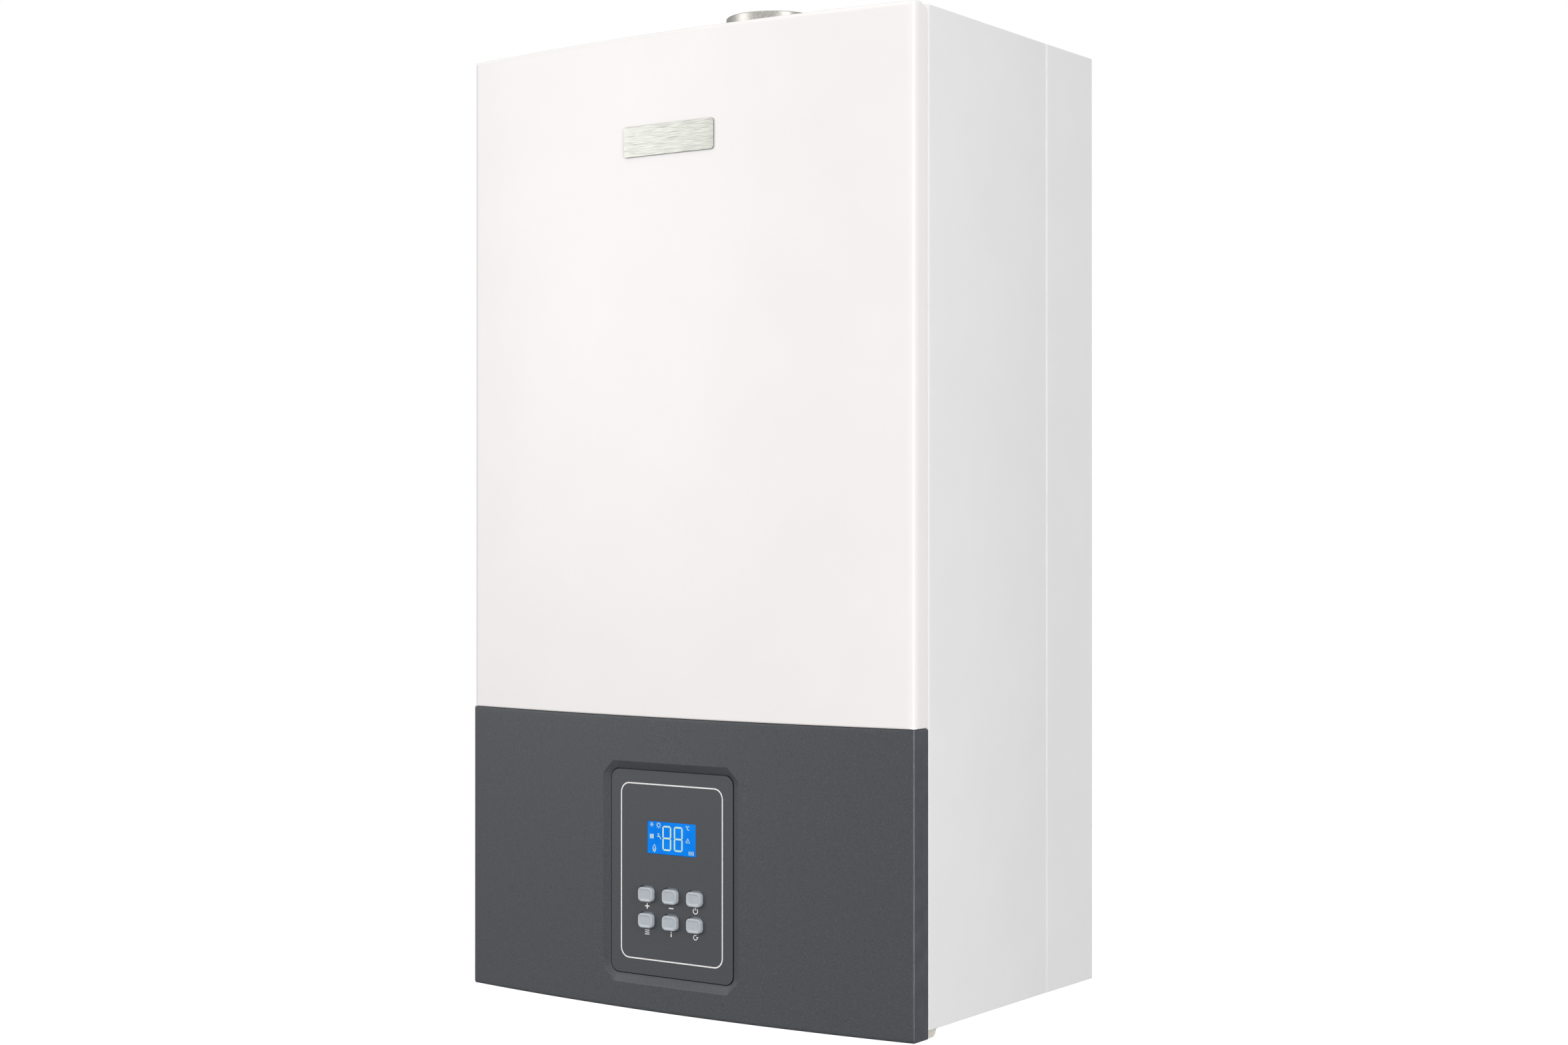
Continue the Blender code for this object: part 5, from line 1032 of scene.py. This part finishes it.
def soften(obj, width):
    """Breaks the sharp edges of a piece with a small round bevel."""
    modifier = obj.modifiers.new("broken_edges", 'BEVEL')
    modifier.width = width
    modifier.segments = 2
    modifier.limit_method = 'ANGLE'
    modifier.angle_limit = BEVEL_ANGLE


def eased(node_name, mat, width):
    """A copy of a frame node with its triangles merged and its edges broken, in the given finish.  A
    width of half a narrow rim or more would fold the rim's face."""
    mesh = frame["nodes"][node_name].data.copy()
    bm = bmesh.new()
    bm.from_mesh(mesh)
    bmesh.ops.remove_doubles(bm, verts=bm.verts, dist=CAD_MERGE)
    bmesh.ops.dissolve_limit(bm, angle_limit=FLAT_ANGLE, verts=bm.verts, edges=bm.edges)
    bm.to_mesh(mesh)
    bm.free()
    obj = placed(node_name + "_eased", mesh, mat, OWNER[node_name], [node_name])
    if width:
        soften(obj, width)


def finish_node(name, mat):
    """Gives a carried-over frame node its finish."""
    obj = frame["nodes"][name]
    obj.data.materials.clear()
    obj.data.materials.append(mat)


def lamp(name, place, wide, tall, power):
    """A soft oblong lamp that looks at the object."""
    data = bpy.data.lights.new(name, 'AREA')
    data.shape = 'RECTANGLE'
    data.size = wide
    data.size_y = tall
    data.energy = power
    obj = bpy.data.objects.new(name, data)
    obj.location = place
    obj.rotation_euler = (Vector(LAMP_TARGET) - Vector(place)).to_track_quat('-Z', 'Y').to_euler()
    bpy.context.scene.collection.objects.link(obj)


def studio():
    """Camera at the photograph's place, two soft lamps and a tall strip lamp on the right, and a white
    world and floor whose white is seen by the camera alone, and the world's by glass too."""
    scene = bpy.context.scene
    scene.view_settings.view_transform = 'Standard'
    data = bpy.data.cameras.new("camera")
    data.sensor_width = SENSOR_MM
    data.lens = FOCAL_PIXELS / PHOTO_WIDTH * SENSOR_MM
    camera = bpy.data.objects.new("camera", data)
    level = math.cos(CAMERA_PITCH)
    back = Vector((math.sin(CAMERA_YAW) * level, -math.cos(CAMERA_YAW) * level, math.sin(CAMERA_PITCH)))
    camera.location = Vector(CAMERA_TARGET) + back * CAMERA_DISTANCE
    camera.rotation_euler = (-back).to_track_quat('-Z', 'Y').to_euler()
    scene.collection.objects.link(camera)
    scene.camera = camera
    world = bpy.data.worlds.new("white_room")
    scene.world = world
    world.use_nodes = True
    white_room(world.node_tree, world.node_tree.nodes["World Output"])
    for settings in LAMPS:
        lamp(*settings)
    mesh = bpy.data.meshes.new("floor")
    reach = (-FLOOR_REACH, FLOOR_REACH)
    mesh.from_pydata([(x, y, FLOOR_Z) for x, y in bar_between(reach, reach)], [], [(0, 1, 2, 3)])
    floor = bpy.data.objects.new("floor", mesh)
    scene.collection.objects.link(floor)
    mesh.materials.append(floor_paint())


def white_room(tree, output):
    """World light: pure white to the camera and glass; to everything else a room that is brightest in
    front of the object and above it, falling off evenly with the cosine from that direction."""
    path = node(tree, "LightPath").outputs
    seen = node(tree, "Math", {0: path["Is Camera Ray"], 1: path["Is Transmission Ray"]}, operation='MAXIMUM')
    looking = node(tree, "TexCoord").outputs["Generated"]
    cosine = node(tree, "VectorMath", {0: looking, 1: BRIGHT_SIDE}, operation='DOT_PRODUCT').outputs["Value"]
    room = node(tree, "MapRange", {"Value": cosine, "From Min": -1.0, "To Min": ROOM_DARK,
                                   "To Max": ROOM_BRIGHT}).outputs["Result"]
    gloss = node(tree, "MapRange", {"Value": path["Is Glossy Ray"], "To Min": 1.0,
                                    "To Max": GLOSS_GAIN}).outputs["Result"]
    room = node(tree, "Math", {0: room, 1: gloss}, operation='MULTIPLY').outputs[0]
    level = node(tree, "Mix", {"Factor": seen.outputs[0], "A": room, "B": 1.0}).outputs["Result"]
    back = node(tree, "Background", {"Color": linear("#FFFFFF"), "Strength": level})
    tree.links.new(back.outputs[0], output.inputs["Surface"])


def floor_paint():
    """Matt white studio floor that keeps a soft shadow."""
    mat, shader, place = begin("matt_studio_floor", 0.9)
    tree = mat.node_tree
    tint(shader, noise(place, 400.0), "#A2A2A2", "#A8A8A8")
    path = node(tree, "LightPath").outputs
    glow = node(tree, "Emission", {"Color": linear("#FFFFFF"), "Strength": FLOOR_GLOW})
    lit = node(tree, "AddShader", {0: shader.outputs[0], 1: glow.outputs[0]})
    mixed = node(tree, "MixShader", {0: path["Is Camera Ray"], 1: shader.outputs[0], 2: lit.outputs[0]})
    tree.links.new(mixed.outputs[0], tree.nodes["Material Output"].inputs["Surface"])
    return mat


studio()
bowed_cover()
fascia()
badge()
for key_name in KEY_NAMES:
    pillow_key("button_" + key_name)
printed_line()
key_signs()
screen_signs()
flue_collar()
for make in (folded_panel, seam_bead):
    for which_side in SIDES:
        make(which_side)
eased("back_frame", SIDE_ENAMEL, 0.0005)
eased("top_panel", SIDE_ENAMEL, 0.0003)
for which_side in SIDES:
    hinge_bracket(which_side)
fluted_knob("safety_knob", "Y", 12, RED, "relief_knob")
fluted_knob("filling_knob", "Z", 10, BLUE, "tap_knob")
ribbed_motor("pump_motor", "casing")
cover_screws()
box_lid()

# Frame nodes whose edges are broken: finish, width of the broken edge, and names
EASED = ((DARK_GREY, 0.0012, ("control_box",)), (CAST, 0.0006, ("gas_valve",)),
         (STAINLESS, 0.0008, ("plate_exchanger",)), (BLACK, 0.001, ("diverter_motor",)),
         (DARK_GREY, 0.001, ("flow_block", "return_block")), (ZINC, 0.0004, ("chamber_box", "chamber_cover")),
         (COPPER, 0, ("flow_pipe", "return_pipe", "vessel_pipe", "gas_pipe")),
         (BRASS, 0.0004, ("gas_inlet_pipe", "heating_flow_stub", "hot_water_stub", "cold_water_stub",
                          "heating_return_stub")),
         (CAST, 0.0008, ("pump_body",)), (ZINC, 0, ("bottom_plate",)), (GRAPHITE, 0.0004, ("control_plate",)))
for eased_finish, eased_width, eased_names in EASED:
    for eased_name in eased_names:
        eased(eased_name, eased_finish, eased_width)

# Frame nodes that are carried over as they are, by finish
FINISHES = {LCD: ("display_window",), ZINC: ("flue_hood", "fan_wheel"),
            STAINLESS: ("burner", "diverter_spindle", "pump_impeller"), COPPER: ("heat_exchanger",),
            BRASS: ("gas_manifold", "safety_valve"), CAST: ("fan_housing",),
            BLACK: ("cable_gland", "display_module", "fan_motor", "air_pressure_switch"),
            LAMINATE: ("keypad_board", "main_board"), CERAMIC: ("ignition_electrode", "flame_electrode"),
            FIBRE: ("combustion_box",), RED: ("expansion_vessel",), PANE: ("sight_glass",)}
for node_finish, node_names in FINISHES.items():
    for carried_name in node_names:
        finish_node(carried_name, node_finish)
